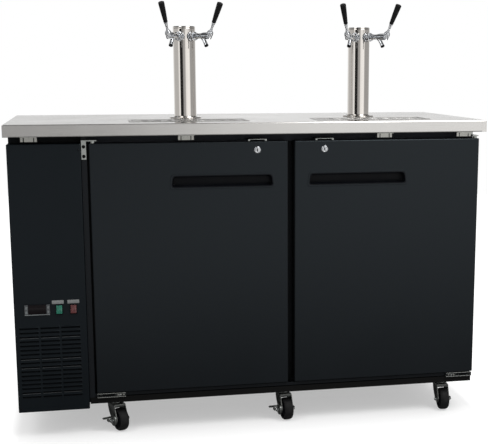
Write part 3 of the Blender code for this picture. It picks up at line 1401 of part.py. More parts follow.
def brake_mesh():
    """A drum on the axle's left end with a tab to step on, and the tab's lip beyond the nut."""
    outer = -LEG_OUTER - FIT
    inner = outer - BRAKE_DISC_THICKNESS
    steps = 16
    rings = []
    for radius in (BRAKE_DISC_RADIUS, AXLE_RADIUS + AXLE_CLEARANCE):
        rings.append([(radius * math.cos(2 * math.pi * step / steps),
                       radius * math.sin(2 * math.pi * step / steps)) for step in range(steps)])
    disc = prism("brake_disc", rings, "X", inner, outer)
    front = BRAKE_TAB_BACK - BRAKE_TAB_WIDTH
    rise = NUT_HALF_WIDTH + BRAKE_TAB_RISE
    tab = box("brake_tab", (inner - BRAKE_TAB_LENGTH, front, rise),
              (inner + BRAKE_TAB_OVERLAP, BRAKE_TAB_BACK, rise + BRAKE_SHEET))
    lip_end = inner - FIT - NUT_THICKNESS - BRAKE_LIP_GAP
    lip = box("brake_lip", (lip_end - BRAKE_SHEET, front + FIT, rise + BRAKE_SHEET / 2 - BRAKE_LIP_DROP),
              (lip_end, BRAKE_TAB_BACK - FIT, rise + BRAKE_SHEET / 2))
    return solid_mesh(fuse(disc, tab, lip))


def make_casters():
    fork = fork_mesh(0)
    braked_fork = fork_mesh(FIT + BRAKE_DISC_THICKNESS + FIT)
    wheel = wheel_mesh()
    brake = brake_mesh()
    for name in CASTER_TURNS:
        shape = braked_fork if name in BRAKED_CASTERS else fork
        placed_copy(name + "_caster_fork", "zinc", shape, caster_frame(name))
        placed_copy(name + "_caster_wheel", "rubber", wheel, axle_frame(name))
    for name in BRAKED_CASTERS:
        placed_copy(name + "_brake_lever", "zinc", brake, axle_frame(name))


# Refrigeration

def condenser_place():
    """Middle of the condenser across and up, and its front face."""
    x = (X_BAY_LEFT + CASING_SHEET + X_BODY_LEFT) / 2
    z = Z_BAY + CASING_SHEET + FIT + CONDENSER_HEIGHT / 2
    return x, Y_FRAME + CONDENSER_GAP, z


def condenser_half_width():
    return (X_BODY_LEFT - X_BAY_LEFT - CASING_SHEET) / 2 - CONDENSER_MARGIN


def make_condenser():
    """The finned coil, and behind it the fan's shroud with its motor on a bridge."""
    x, front, z = condenser_place()
    half = condenser_half_width()
    low = z - CONDENSER_HEIGHT / 2
    high = z + CONDENSER_HEIGHT / 2
    coil_back = front + CONDENSER_DEPTH
    coil = box("coil", (x - half, front, low), (x + half, coil_back, high))
    grooves = []
    pitch = 2 * half / (CONDENSER_FIN_GROOVES + 1)
    for index in range(CONDENSER_FIN_GROOVES):
        start = x - half + pitch * (index + 1) - FIN_GROOVE / 2
        grooves.append(((start, front - OVERRUN, low + FIN_GROOVE),
                        (start + FIN_GROOVE, front + CONDENSER_DEPTH / 2, high - FIN_GROOVE)))
    cut(coil, boxes("fin_grooves", grooves))
    plate_front = coil_back - SHROUD_SHEET / 2
    plate_back = plate_front + SHROUD_SHEET
    shroud = box("shroud", (x - half + FIT, plate_front, low + FIT), (x + half - FIT, plate_back, high))
    bore = rod("fan_bore", (x, plate_front - OVERRUN, z), (x, plate_back + OVERRUN, z),
               SHROUD_BORE_RADIUS, 32)
    bridge_back = plate_front + BRIDGE_REACH
    outer_x = half
    inner_x = half - BRIDGE_SHEET
    inner_y = bridge_back - BRIDGE_SHEET
    outline = [(x - outer_x, plate_front), (x - inner_x, plate_front), (x - inner_x, inner_y),
               (x + inner_x, inner_y), (x + inner_x, plate_front), (x + outer_x, plate_front),
               (x + outer_x, bridge_back), (x - outer_x, bridge_back)]
    bridge = prism("bridge", [outline], "Z", z - BRIDGE_HEIGHT / 2, z + BRIDGE_HEIGHT / 2)
    motor = rod("motor", (x, inner_y, z), (x, bridge_back + MOTOR_LENGTH, z), MOTOR_RADIUS, 20)
    cut(shroud, bore)
    fuse(coil, shroud, bridge, motor)
    node("condenser", "aluminium", coil)


def fan_solid(name, hub_radius, hub_length, fan_radius, chord):
    """A hub with pitched blades, turning about Z, its back at the origin."""
    hub = rod(name, (0, 0, 0), (0, 0, hub_length), hub_radius, 20)
    blades = []
    for index in range(FAN_BLADES):
        blade = box("blade", (hub_radius / 2, -chord / 2, -FAN_BLADE_SHEET / 2),
                    (fan_radius, chord / 2, FAN_BLADE_SHEET / 2))
        turn = Matrix.Rotation(2 * math.pi * index / FAN_BLADES, 4, "Z")
        lift = Matrix.Translation((0, 0, hub_length / 2))
        blades.append(moved(blade, turn @ lift @ Matrix.Rotation(FAN_BLADE_PITCH, 4, "X")))
    return fuse(hub, *blades)


def make_condenser_fan():
    x, front, z = condenser_place()
    hub_back = front + CONDENSER_DEPTH - SHROUD_SHEET / 2 + BRIDGE_REACH - BRIDGE_SHEET - FIT
    frame = Matrix.Translation((x, hub_back, z)) @ TURN_OUT
    fan = fan_solid("fan", FAN_HUB_RADIUS, FAN_HUB_LENGTH, FAN_RADIUS, FAN_CHORD)
    placed_copy("condenser_fan", "black_plastic", solid_mesh(fan), frame)


def make_compressor():
    """The hermetic pot on its base plate and rubber feet, with a pipe stub."""
    x = condenser_place()[0]
    y = Y_BODY_BACK - COMPRESSOR_BACK
    floor = Z_BAY + CASING_SHEET + FIT
    deck = floor + COMPRESSOR_FOOT_HEIGHT
    top = deck + COMPRESSOR_HEIGHT
    shoulder = top - COMPRESSOR_DOME
    profile = [(0, top)]
    steps = 4
    for step in range(1, steps + 1):
        angle = math.pi / 2 * (1 - step / steps)
        profile.append((COMPRESSOR_RADIUS * math.cos(angle),
                        shoulder + COMPRESSOR_DOME * math.sin(angle)))
    profile += [(COMPRESSOR_RADIUS, deck + COMPRESSOR_PLATE / 2), (0, deck + COMPRESSOR_PLATE / 2)]
    pot = moved(turned("pot", profile, 24), Matrix.Translation((x, y, 0)))
    reach = COMPRESSOR_PLATE_HALF
    plate = box("base_plate", (x - reach, y - reach, deck), (x + reach, y + reach, deck + COMPRESSOR_PLATE))
    feet = bmesh.new()
    foot_reach = reach - COMPRESSOR_FOOT_RADIUS - FIT
    for side_x in (-1, 1):
        for side_y in (-1, 1):
            foot_x = x + side_x * foot_reach
            foot_y = y + side_y * foot_reach
            add_rod(feet, (foot_x, foot_y, floor), (foot_x, foot_y, deck + COMPRESSOR_PLATE / 2),
                    COMPRESSOR_FOOT_RADIUS, 12)
    stub = rod("pipe_stub", (x, y - COMPRESSOR_RADIUS / 2, shoulder - COMPRESSOR_DOME),
               (x, y - COMPRESSOR_RADIUS - COMPRESSOR_STUB_LENGTH, shoulder - COMPRESSOR_DOME),
               COMPRESSOR_STUB_RADIUS, 12)
    node("compressor", "black_steel", fuse(pot, plate, object_from_bmesh("feet", feet), stub))


def evaporator_corners():
    """The evaporator housing's corners, against the cavity's left wall."""
    top = CAVITY_HIGH.z - EVAPORATOR_TOP_GAP
    middle = (CAVITY_LOW.y + CAVITY_HIGH.y) / 2
    low = Vector((CAVITY_LOW.x + FIT, middle - EVAPORATOR_WIDTH / 2, top - EVAPORATOR_HEIGHT))
    high = Vector((low.x + EVAPORATOR_DEPTH, middle + EVAPORATOR_WIDTH / 2, top))
    return low, high


def evaporator_fan_place():
    low, high = evaporator_corners()
    return (low.y + high.y) / 2, high.z - EVAPORATOR_FAN_DROP


def make_evaporator():
    """The air box on the cavity's left wall, with the coil and fan motor inside it."""
    low, high = evaporator_corners()
    fan_y, fan_z = evaporator_fan_place()
    shell = open_box("air_box", low, high, ("-X",), EVAPORATOR_SHEET, EVAPORATOR_EDGE)
    outlet = rod("fan_outlet", (high.x - EVAPORATOR_SHEET - OVERRUN, fan_y, fan_z),
                 (high.x + OVERRUN, fan_y, fan_z), EVAPORATOR_FAN_RADIUS + EVAPORATOR_FAN_GAP, 24)
    intakes = []
    for row in range(EVAPORATOR_INTAKES):
        bottom = low.z + INTAKE_PITCH * (row + 1)
        intakes.append(((high.x - EVAPORATOR_SHEET - OVERRUN, low.y + INTAKE_MARGIN, bottom),
                        (high.x + OVERRUN, high.y - INTAKE_MARGIN, bottom + INTAKE_SLOT)))
    cut(shell, outlet, boxes("intakes", intakes))
    margin = EVAPORATOR_COIL_MARGIN
    coil = box("cold_coil", (low.x + FIT, low.y + margin, low.z + EVAPORATOR_SHEET / 2),
               (low.x + EVAPORATOR_COIL_DEPTH, high.y - margin, high.z - EVAPORATOR_SHEET / 2))
    motor_end = low.x + EVAPORATOR_COIL_DEPTH + EVAPORATOR_MOTOR_LENGTH
    motor = rod("cold_motor", (low.x + EVAPORATOR_COIL_DEPTH / 2, fan_y, fan_z),
                (motor_end, fan_y, fan_z), EVAPORATOR_MOTOR_RADIUS)
    node("evaporator", "white_liner", fuse(shell, coil, motor))


def make_evaporator_fan():
    low, _ = evaporator_corners()
    fan_y, fan_z = evaporator_fan_place()
    start = low.x + EVAPORATOR_COIL_DEPTH + EVAPORATOR_MOTOR_LENGTH + FIT
    frame = Matrix.Translation((start, fan_y, fan_z)) @ Matrix.Rotation(math.radians(90), 4, "Y")
    fan = fan_solid("cold_fan", EVAPORATOR_HUB_RADIUS, EVAPORATOR_HUB_LENGTH,
                    EVAPORATOR_FAN_RADIUS, EVAPORATOR_CHORD)
    placed_copy("evaporator_fan", "black_plastic", solid_mesh(fan), frame)


def main():
    make_countertop()
    for index, side in enumerate(("left", "right")):
        make_drip_pan(index, side + "_drip_pan")
        make_drip_grille(index, side + "_drip_grille")
        make_door_skin(side)
        make_door_panel(side)
        make_gasket(side)
        make_lock(side)
        make_top_hinge(side)
        make_foot_hinge(side)
    make_casing()
    make_base_frame()
    make_cord_gland()
    make_liner()
    make_front_frame()
    make_grille_cover()
    make_controller()
    make_switch_block()
    make_rocker(0, "green_rocker", "green_lens")
    make_rocker(1, "red_rocker", "red_lens")
    make_towers()
    make_casters()
    make_condenser()
    make_condenser_fan()
    make_compressor()
    make_evaporator()
    make_evaporator_fan()


main()
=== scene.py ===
import json
import math

import bmesh
import bpy
from mathutils import Matrix, Vector

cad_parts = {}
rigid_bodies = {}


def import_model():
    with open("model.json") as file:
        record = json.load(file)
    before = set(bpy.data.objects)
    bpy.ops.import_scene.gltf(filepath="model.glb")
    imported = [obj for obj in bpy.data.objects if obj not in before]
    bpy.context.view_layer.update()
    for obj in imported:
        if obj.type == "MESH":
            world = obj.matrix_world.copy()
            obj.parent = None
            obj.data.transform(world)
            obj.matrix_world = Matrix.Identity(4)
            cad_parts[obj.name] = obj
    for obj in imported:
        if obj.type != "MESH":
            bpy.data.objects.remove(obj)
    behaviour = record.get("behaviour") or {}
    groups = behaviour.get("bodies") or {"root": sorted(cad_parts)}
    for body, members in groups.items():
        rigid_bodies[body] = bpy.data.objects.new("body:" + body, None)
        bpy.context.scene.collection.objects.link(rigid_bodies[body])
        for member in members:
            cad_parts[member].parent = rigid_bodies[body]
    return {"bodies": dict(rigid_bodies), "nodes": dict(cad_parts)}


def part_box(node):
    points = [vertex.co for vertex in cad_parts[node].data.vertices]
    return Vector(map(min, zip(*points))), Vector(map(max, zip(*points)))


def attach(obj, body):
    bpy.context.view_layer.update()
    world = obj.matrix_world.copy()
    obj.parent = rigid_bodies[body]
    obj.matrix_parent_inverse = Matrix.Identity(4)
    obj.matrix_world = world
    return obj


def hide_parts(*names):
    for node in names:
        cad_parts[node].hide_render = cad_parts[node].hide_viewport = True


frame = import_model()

for leftover in set(bpy.data.objects) - set(frame["bodies"].values()) - set(frame["nodes"].values()):
    bpy.data.objects.remove(leftover)

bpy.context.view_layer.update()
offset = Matrix.Translation

# Places of the frame, in metres
COUNTER_TOP = 1.010
SKIRT_BOTTOM = 0.9715
COUNTER_HALF_X = 0.775
COUNTER_HALF_Y = 0.330
DOOR_FRONT = -0.311
FRAME_FACE = -0.255
DOOR_TOP = 0.949
DOOR_BOTTOM = 0.144
DOORS = {"left": (-0.5195, 0.1085), "right": (0.1305, 0.7585)}
LOCKS = {"left": 0.0095, "right": 0.2295}
LOCK_HEIGHT = 0.9215
# Each tower's x, and its turn in degrees
TOWERS = {"left_tower": (-0.188, 3), "right_tower": (0.427, -1)}
TOWER_Y = 0.020
FOOT_HINGE_HEIGHT = 0.0135
# Each caster's x and y, and its turn in degrees
CASTERS = {
    "front_left": (-0.458, -0.237, 23),
    "front_middle": (0.10625, -0.237, 8),
    "front_right": (0.6705, -0.237, -3),
    "rear_left": (-0.458, 0.237, 12),
    "rear_middle": (0.10625, 0.237, -6),
    "rear_right": (0.6705, 0.237, 8),
}


# Materials

class Nodes:
    """Short calls that build up a node tree."""

    def __init__(self, tree):
        self.tree = tree

    def add(self, kind, inputs=None, **settings):
        """A new node, whose inputs take values or other nodes' outputs."""
        node = self.tree.nodes.new("ShaderNode" + kind)
        for setting, value in settings.items():
            setattr(node, setting, value)
        for socket, value in (inputs or {}).items():
            if isinstance(value, bpy.types.NodeSocket):
                self.tree.links.new(value, node.inputs[socket])
            else:
                node.inputs[socket].default_value = value
        return node

    def level(self, value, low, high, start=0.3, end=0.7):
        """Maps the value, from start to end, to the range from low to high."""
        return self.add("MapRange", {"Value": value, "From Min": start, "From Max": end,
                                     "To Min": low, "To Max": high}).outputs["Result"]

    def math(self, operation, first, second=0.5):
        return self.add("Math", {0: first, 1: second}, operation=operation).outputs[0]

    def mix(self, factor, first, second, blend="MIX"):
        inputs = {0: factor, 6: first, 7: second}
        return self.add("Mix", inputs, data_type="RGBA", blend_type=blend).outputs[2]


class Surface(Nodes):
    """A Principled material whose detail comes from procedural nodes."""

    def __init__(self, name, colour, metallic=0.0, roughness=0.5, **sockets):
        self.material = bpy.data.materials.new(name)
        self.material.use_nodes = True
        self.material.diffuse_color = (*colour, 1)
        super().__init__(self.material.node_tree)
        self.shader = self.tree.nodes["Principled BSDF"]
        self.colour = colour
        sockets |= {"Base_Color": (*colour, 1), "Metallic": metallic, "Roughness": roughness}
        for socket, value in sockets.items():
            self.shader.inputs[socket.replace("_", " ")].default_value = value
        self.place = self.add("TexCoord").outputs["Object"]

    def drive(self, socket, output):
        self.tree.links.new(output, self.shader.inputs[socket])
        return self

    def noise(self, scale, stretch=(1, 1, 1), detail=3.0, roughness=0.55):
        """Noise over the object's own coordinates. A small stretch draws it out along that axis."""
        spread = self.add("Mapping", {"Vector": self.place, "Scale": stretch})
        return self.add("TexNoise", {"Vector": spread.outputs["Vector"], "Scale": scale, "Detail": detail,
                                     "Roughness": roughness}).outputs["Fac"]

    def cells(self, scale):
        cells = self.add("TexVoronoi", {"Vector": self.place, "Scale": scale}, feature="SMOOTH_F1")
        return cells.outputs["Distance"]

    def bands(self, axis, pitch):
        """Ridges across the axis, the pitch apart."""
        waves = self.add("TexWave", {"Vector": self.place, "Scale": math.pi / (10 * pitch)},
                         bands_direction=axis)
        return waves.outputs["Fac"]

    def vary_colour(self, value, dark, light, start=0.3, end=0.7):
        """Multiplies the base colour by dark to light as the value runs from start to end."""
        tints = [(*[c * d for c, d in zip(self.colour, tint)], 1) for tint in (dark, light)]
        return self.drive("Base Color", self.mix(self.level(value, 0, 1, start, end), *tints))

    def vary_roughness(self, value, low, high, start=0.3, end=0.7):
        return self.drive("Roughness", self.level(value, low, high, start, end))

    def relief(self, value, depth, strength=1.0):
        """Bumps the surface by the value, in metres."""
        bump = self.add("Bump", {"Height": value, "Distance": depth, "Strength": strength})
        return self.drive("Normal", bump.outputs["Normal"])


def grey(level):
    return (level,) * 3


def brushed(name, colour, roughness, grain, depth=0.00003, **sockets):
    """Sheet metal with a fine grain that runs along one axis, and faint smears."""
    surface = Surface(name, colour, 1.0, roughness, **sockets)
    stretch = [1.0, 1.0, 1.0]
    stretch["XYZ".index(grain)] = 0.012
    lines = surface.noise(900, stretch, 2.0)
    smears = surface.noise(5, (1, 1, 1), 4.0, 0.6)
    surface.vary_colour(surface.math("ADD", lines, smears), grey(0.93), grey(1.05), 0.7, 1.3)
    blend = surface.math("ADD", surface.math("MULTIPLY", lines, 0.6), surface.math("MULTIPLY", smears, 0.4))
    surface.vary_roughness(blend, roughness * 0.75, roughness * 1.3)
    return surface.relief(lines, depth)


def coated(name, colour, roughness, specular, pebble=700, depth=0.00004, tint=(1, 1, 1)):
    """Powder coat on sheet steel: an orange-peel skin, faint mottling and dusty smears."""
    surface = Surface(name, colour, 0.0, roughness, Specular_IOR_Level=specular, Specular_Tint=(*tint, 1))
    pebbles = surface.noise(pebble, detail=1.0)
    cloud = surface.noise(2.2, (1, 1, 0.6), 5.0, 0.6)
    specks = surface.noise(2600, detail=0.0)
    surface.vary_colour(surface.math("ADD", cloud, surface.math("MULTIPLY", specks, 0.35)),
                        (0.86, 0.86, 0.85), (1.14, 1.15, 1.18), 0.45, 0.9)
    surface.vary_roughness(cloud, roughness * 0.9, roughness * 1.15)
    return surface.relief(pebbles, depth)


def plated(name, colour, roughness, tint, scale=35, depth=0.00001):
    """Zinc or chrome plate: cloudy colour, handling marks and a fine pitting."""
    surface = Surface(name, colour, 1.0, roughness)
    cloud = surface.noise(scale, detail=4.0)
    marks = surface.noise(scale * 9, (1, 1, 0.3), 2.0)
    surface.vary_colour(cloud, [t * 0.9 for t in tint], grey(1.04))
    surface.vary_roughness(surface.math("ADD", cloud, marks), roughness * 0.7, roughness * 1.4, 0.7, 1.3)
    return surface.relief(marks, depth)


def moulded(name, colour, roughness, grain=1500, depth=0.00003, **sockets):
    """Moulded plastic with a spark-eroded grain."""
    surface = Surface(name, colour, 0.0, roughness, **sockets)
    texture = surface.noise(grain, detail=2.0)
    cloud = surface.noise(12, detail=3.0)
    surface.vary_colour(cloud, grey(0.88), grey(1.12))
    surface.vary_roughness(cloud, roughness * 0.85, roughness * 1.15)
    return surface.relief(texture, depth)


def embossed(name, colour, roughness):
    """White liner sheet with a pebbled emboss."""
    surface = Surface(name, colour, 0.0, roughness)
    dimples = surface.cells(160)
    cloud = surface.noise(3, detail=4.0)
    surface.vary_colour(surface.math("ADD", cloud, surface.math("MULTIPLY", dimples, 0.3)),
                        (0.93, 0.93, 0.92), grey(1.03), 0.4, 0.85)
    surface.vary_roughness(dimples, roughness * 0.8, roughness * 1.2, 0.1, 0.7)
    return surface.relief(dimples, 0.0004, 0.35)


def finned(name, axis, pitch):
    """A block of thin bright fins, with painted shade in the gaps between them."""
    surface = Surface(name, (0.60, 0.61, 0.62), 0.9, 0.4)
    fins = surface.bands(axis, pitch)
    bent = surface.noise(60, detail=2.0)
    edge = surface.math("ADD", fins, surface.math("MULTIPLY", bent, 0.3))
    # Near black between the fins: painted shade in the gaps.
    surface.vary_colour(edge, grey(0.05), grey(1.0), 0.45, 0.75)
    surface.vary_roughness(bent, 0.35, 0.55)
    return surface.relief(fins, 0.0006)


def tyre_rubber():
    surface = Surface("tyre_rubber", (0.0085, 0.0085, 0.0092), 0.0, 0.62, Specular_IOR_Level=0.18)
    dust = surface.noise(45, detail=5.0, roughness=0.65)
    fine = surface.noise(700, detail=1.0)
    surface.vary_colour(dust, grey(0.8), (1.7, 1.65, 1.55), 0.4, 0.8)
    surface.vary_roughness(dust, 0.5, 0.8)
    return surface.relief(surface.math("ADD", fine, dust), 0.0001)


def lens(name, colour, glow):
    """A translucent rocker: coloured plastic, brighter where it is thin."""
    surface = Surface(name, colour, 0.0, 0.22, Transmission_Weight=0.25, Coat_Weight=0.3,
                      Coat_Roughness=0.1, Emission_Color=(*glow, 1), Emission_Strength=0.03)
    depth = surface.noise(180, (1, 1, 0.4), 3.0)
    surface.vary_colour(depth, grey(0.6), grey(1.35))
    surface.vary_roughness(depth, 0.16, 0.3)
    return surface.relief(depth, 0.00008)


def display_window():
    surface = Surface("display_window", (0.0034, 0.0028, 0.0034), 0.0, 0.16, Specular_IOR_Level=0.12,
                      Coat_Weight=0.05, Coat_Roughness=0.05)
    cells = surface.bands("X", 0.0045)
    smudge = surface.noise(90, detail=3.0)
    surface.vary_colour(surface.math("ADD", cells, smudge), grey(0.7), (1.5, 1.1, 1.1), 0.4, 1.5)
    surface.vary_roughness(smudge, 0.08, 0.2)
    return surface.relief(smudge, 0.00001)


STAINLESS = brushed("stainless_brushed", (0.575, 0.563, 0.545), 0.19, "X")
TRAY_STEEL = brushed("stainless_tray", (0.50, 0.49, 0.475), 0.26, "Y")
COLUMN_STEEL = brushed("stainless_column", (0.70, 0.665, 0.625), 0.09, "Z", 0.000012)
CHROME = plated("chrome_polished", (0.60, 0.615, 0.63), 0.10, (1.0, 1.0, 1.02))
ZINC = plated("zinc_plate", (0.40, 0.41, 0.40), 0.30, (0.98, 1.0, 0.96), 70, 0.00003)
FORK_STEEL = plated("fork_steel", (0.20, 0.205, 0.20), 0.36, (0.96, 1.0, 0.97), 90, 0.00006)
BOLT_STEEL = plated("bolt_plate", (0.50, 0.51, 0.51), 0.24, (0.97, 1.0, 1.0), 160)
LOCK_STEEL = plated("lock_plate", (0.56, 0.57, 0.58), 0.16, (0.97, 0.98, 1.0), 110)
DOOR_COAT = coated("door_coat", (0.0036, 0.0042, 0.0050), 0.30, 0.28, tint=(0.78, 0.91, 1.0))
BODY_COAT = coated("body_coat", (0.0060, 0.0072, 0.0085), 0.40, 0.10)
COVER_COAT = coated("cover_coat", (0.0034, 0.0050, 0.0066), 0.34, 0.16, tint=(0.86, 0.95, 1.0))
BASE_COAT = coated("base_coat", (0.0045, 0.0045, 0.0044), 0.46, 0.08, 500)
POT_COAT = coated("pot_coat", (0.009, 0.009, 0.010), 0.35, 0.3, 300, 0.0001)
FRAME_PLASTIC = moulded("frame_plastic", (0.0052, 0.0066, 0.0085), 0.46, Specular_IOR_Level=0.16)
# Paler than the frame: painted light on the shaded header above the doors.
HEADER_PAINTED_LIGHT = moulded("header_painted_light", (0.030, 0.033, 0.040), 0.50, Specular_IOR_Level=0.12)
CLIP_STEEL = plated("clip_steel", (0.42, 0.41, 0.385), 0.34, (0.96, 1.0, 0.98), 120)
# Pale and not metallic: for thin strips that are painted highlights on zinc edges.
ZINC_PAINTED_HIGHLIGHT = coated("zinc_painted_highlight", (0.26, 0.265, 0.25), 0.32, 0.5)
HINGE_STEEL = plated("hinge_steel", (0.055, 0.057, 0.058), 0.42, (0.96, 1.0, 0.98), 140, 0.00003)
BLACK_PLASTIC = moulded("black_plastic", (0.0038, 0.0044, 0.0060), 0.42, Specular_IOR_Level=0.10)
GRIP_PLASTIC = moulded("grip_plastic", (0.006, 0.006, 0.0065), 0.32, 900, 0.00002,
                       Specular_IOR_Level=0.16)
GREY_PLASTIC = moulded("grey_plastic", (0.045, 0.050, 0.054), 0.5)
PALE_PLASTIC = moulded("pale_plastic", (0.105, 0.115, 0.118), 0.45)
WHITE_PLASTIC = moulded("white_plastic", (0.68, 0.69, 0.68), 0.45, 900)
PLATE_FILM = moulded("plate_film", (0.150, 0.155, 0.155), 0.38, 2200, 0.00001)
SEAL_RUBBER = moulded("seal_rubber", (0.020, 0.020, 0.021), 0.6, 600, 0.00006)
TYRE = tyre_rubber()
# Pale colour for strips on some louvre rows: painted glints.
PAINTED_GLINT = coated("painted_glint", (0.085, 0.090, 0.092), 0.38, 0.4)
LINER_WHITE = embossed("liner_white", (0.72, 0.73, 0.72), 0.38)
FINS_WITH_GAP_SHADE = finned("condenser_fins_gap_shade", "X", 0.0028)
GREEN_LENS = lens("green_lens", (0.013, 0.13, 0.085), (0.03, 0.60, 0.38))
RED_LENS = lens("red_lens", (0.095, 0.026, 0.026), (0.40, 0.06, 0.06))
DISPLAY = display_window()
COPPER = plated("copper_pipe", (0.72, 0.40, 0.28), 0.25, (1.0, 0.85, 0.75), 60, 0.00003)


# Shapes

def mm(*points):
    """Points in metres, from millimetres."""
    return [tuple(value / 1000 for value in point) for point in points]


def skin(shape, rings, closed=True):
    """Faces between each ring of vertices and the next."""
    for first, second in zip(rings, rings[1:]):
        for step in range(len(first) if closed else len(first) - 1):
            after = (step + 1) % len(first)
            shape.faces.new((first[step], first[after], second[after], second[step]))


def outward(shape):
    bmesh.ops.recalc_face_normals(shape, faces=shape.faces)
    return shape


def lathe(profile, sides=64, flutes=0, flute_depth=0.0, fluted=()):
    """A surface turned about Z from (radius, height) points. Rings whose index is in fluted are scalloped."""
    shape = bmesh.new()
    rings = []
    for index, (radius, height) in enumerate(profile):
        if radius < 1e-7:
            rings.append([shape.verts.new((0, 0, height))] * sides)
            continue
        ring = []
        for step in range(sides):
            angle = 2 * math.pi * step / sides
            reach = radius
            if index in fluted:
                reach -= flute_depth * (0.5 - 0.5 * math.cos(flutes * angle)) ** 2
            ring.append(shape.verts.new((reach * math.cos(angle), reach * math.sin(angle), height)))
        rings.append(ring)
    for first, second in zip(rings, rings[1:]):
        for step in range(sides):
            after = (step + 1) % sides
            corners = dict.fromkeys((first[step], second[step], second[after], first[after]))
            if len(corners) > 2:
                shape.faces.new(tuple(corners))
    return outward(shape)


def softened(points, radius, steps=3, closed=False):
    """The polyline with its corners rounded."""
    result = []
    count = len(points)
    vectors = [Vector(point) for point in points]
    for index, corner in enumerate(vectors):
        if not closed and index in (0, count - 1):
            result.append(tuple(corner))
            continue
        before = vectors[index - 1] - corner
        after = vectors[(index + 1) % count] - corner
        reach = min(radius, before.length * 0.48, after.length * 0.48)
        if reach < 1e-7:
            result.append(tuple(corner))
            continue
        start = corner + before.normalized() * reach
        end = corner + after.normalized() * reach
        for step in range(steps + 1):
            t = step / steps
            result.append(tuple(start * (1 - t) ** 2 + corner * 2 * t * (1 - t) + end * t ** 2))
    return result


def rounded_rectangle(low, high, radius, steps=5):
    corners = [(low[0], low[1]), (high[0], low[1]), (high[0], high[1]), (low[0], high[1])]
    return softened(corners, radius, steps, closed=True)


def centred(half_x, half_y, radius):
    return rounded_rectangle((-half_x, -half_y), (half_x, half_y), radius)


def arc(radius, start, step, count, centre=(0, 0)):
    """Points on a circle, from the start angle on, each a step of degrees after the one before."""
    angles = [math.radians(start + step * k) for k in range(count)]
    return [(centre[0] + radius * math.cos(a), centre[1] + radius * math.sin(a)) for a in angles]


def circle(radius, centre=(0, 0), sides=32):
    return arc(radius, 0, 360 / sides, sides, centre)


def around(radius, height):
    """Four places on a circle, at the corners of a square."""
    return [(x, y, height) for x, y in arc(radius, 45, 90, 4)]


def shrunk(outline, amount):
    """A counterclockwise outline drawn in by the amount."""
    points = [Vector(point) for point in outline]
    result = []
    for index, point in enumerate(points):
        before = (point - points[index - 1]).normalized()
        after = (points[(index + 1) % len(points)] - point).normalized()
        normal = Vector((-before.y - after.y, before.x + after.x))
        scale = normal.length_squared / 2
        result.append(tuple(point + normal * (amount / max(scale, 0.3))))
    return result


def plate(outline, thickness, edge=0.0003, holes=()):
    """A flat plate from z = 0 up, with holes and rounded edges."""
    shape = bmesh.new()
    levels = ((edge, 0.0), (edge * 0.3, edge * 0.3), (0.0, edge),
              (0.0, thickness - edge), (edge * 0.3, thickness - edge * 0.3), (edge, thickness))
    caps = {0: [], -1: []}
    for way, border in [(1, outline)] + [(-1, hole) for hole in holes]:
        rings = [[shape.verts.new((x, y, height)) for x, y in shrunk(border, way * inset)]
                 for inset, height in levels]
        skin(shape, rings)
        for level, edges in caps.items():
            ring = rings[level]
            edges += [shape.edges.get(pair) for pair in zip(ring, ring[1:] + ring[:1])]
    for edges in caps.values():
        bmesh.ops.triangle_fill(shape, use_beauty=True, edges=edges, normal=(0, 0, 1))
    return outward(shape)


def block(corner, opposite, edge=0.0006, segments=2):
    """A box with rounded edges, between two opposite corners."""
    shape = bmesh.new()
    bmesh.ops.create_cube(shape, size=1.0)
    for axis, (low, high) in enumerate(map(sorted, zip(corner, opposite))):
        for vertex in shape.verts:
            vertex.co[axis] = (low + high) / 2 + vertex.co[axis] * (high - low)
    bmesh.ops.bevel(shape, geom=shape.edges[:], offset=edge, segments=segments, profile=0.5,
                    affect="EDGES")
    return shape


def tube(path, radius, sides=20, bore=0.0):
    """A round bar along a smooth path. The radius is one number or one for each point."""
    points = [Vector(point) for point in path]
    radii = radius if isinstance(radius, list) else [radius] * len(points)
    shape = bmesh.new()
    side = None
    rings = []

    def add_ring(centre, reach):
        rings.append([shape.verts.new(centre + reach * (side * across + up * along))
                      for across, along in circle(1, sides=sides)])

    for index, point in enumerate(points):
        ahead = (points[min(index + 1, len(points) - 1)] - points[max(index - 1, 0)]).normalized()
        if side is None:
            side = ahead.orthogonal().normalized()
        side = (side - ahead * side.dot(ahead)).normalized()
        up = ahead.cross(side)
        add_ring(point, radii[index])
    if bore:
        for depth in (0.0, 0.006):
            add_ring(point - ahead * depth, bore)
    skin(shape, rings)
    shape.faces.new(rings[0][::-1])
    shape.faces.new(rings[-1])
    return outward(shape)


def screw(radius, height):
    """A pan head with a cross recess, its seat at z = 0."""
    profile = [(radius, 0), (radius, height * 0.25), (radius * 0.9, height * 0.68),
               (radius * 0.68, height * 0.92), (radius * 0.62, height), (radius * 0.56, height),
               (radius * 0.50, height * 0.35), (0, height * 0.25)]
    return lathe(profile, 32, flutes=4, flute_depth=radius * 0.40, fluted=(5, 6))


def hex_nut(width, height, bore=0.0):
    """A hexagon nut with chamfered corners, its seat at z = 0."""
    flat = width / math.sqrt(3)
    shape = plate(circle(flat, sides=6), height, height * 0.08)
    dome = lathe([(0, height), (bore or flat * 0.45, height), (bore or flat * 0.45, height * 1.35),
                  (0, height * 1.45)], 24)
    return joined(shape, dome)


def pour(shape, whole):
    """Empties the shape into the whole."""
    mesh = bpy.data.meshes.new("part")
    shape.to_mesh(mesh)
    shape.free()
    whole.from_mesh(mesh)
    bpy.data.meshes.remove(mesh)


def joined(*shapes):
    """One bmesh from several, which are used up."""
    whole = bmesh.new()
    for shape in shapes:
        pour(shape, whole)
    return whole


def at(shape, *steps):
    """The shape moved by each matrix or offset in turn."""
    for step in steps:
        if not isinstance(step, Matrix):
            step = offset(step)
        shape.transform(step)
    return shape


def turn(axis, degrees):
    return Matrix.Rotation(math.radians(degrees), 4, axis)


# These take +Z to -Y, to -X and to +X
FACE_FRONT = turn("X", 90)
FACE_LEFT = turn("Y", -90)
FACE_RIGHT = turn("Y", 90)


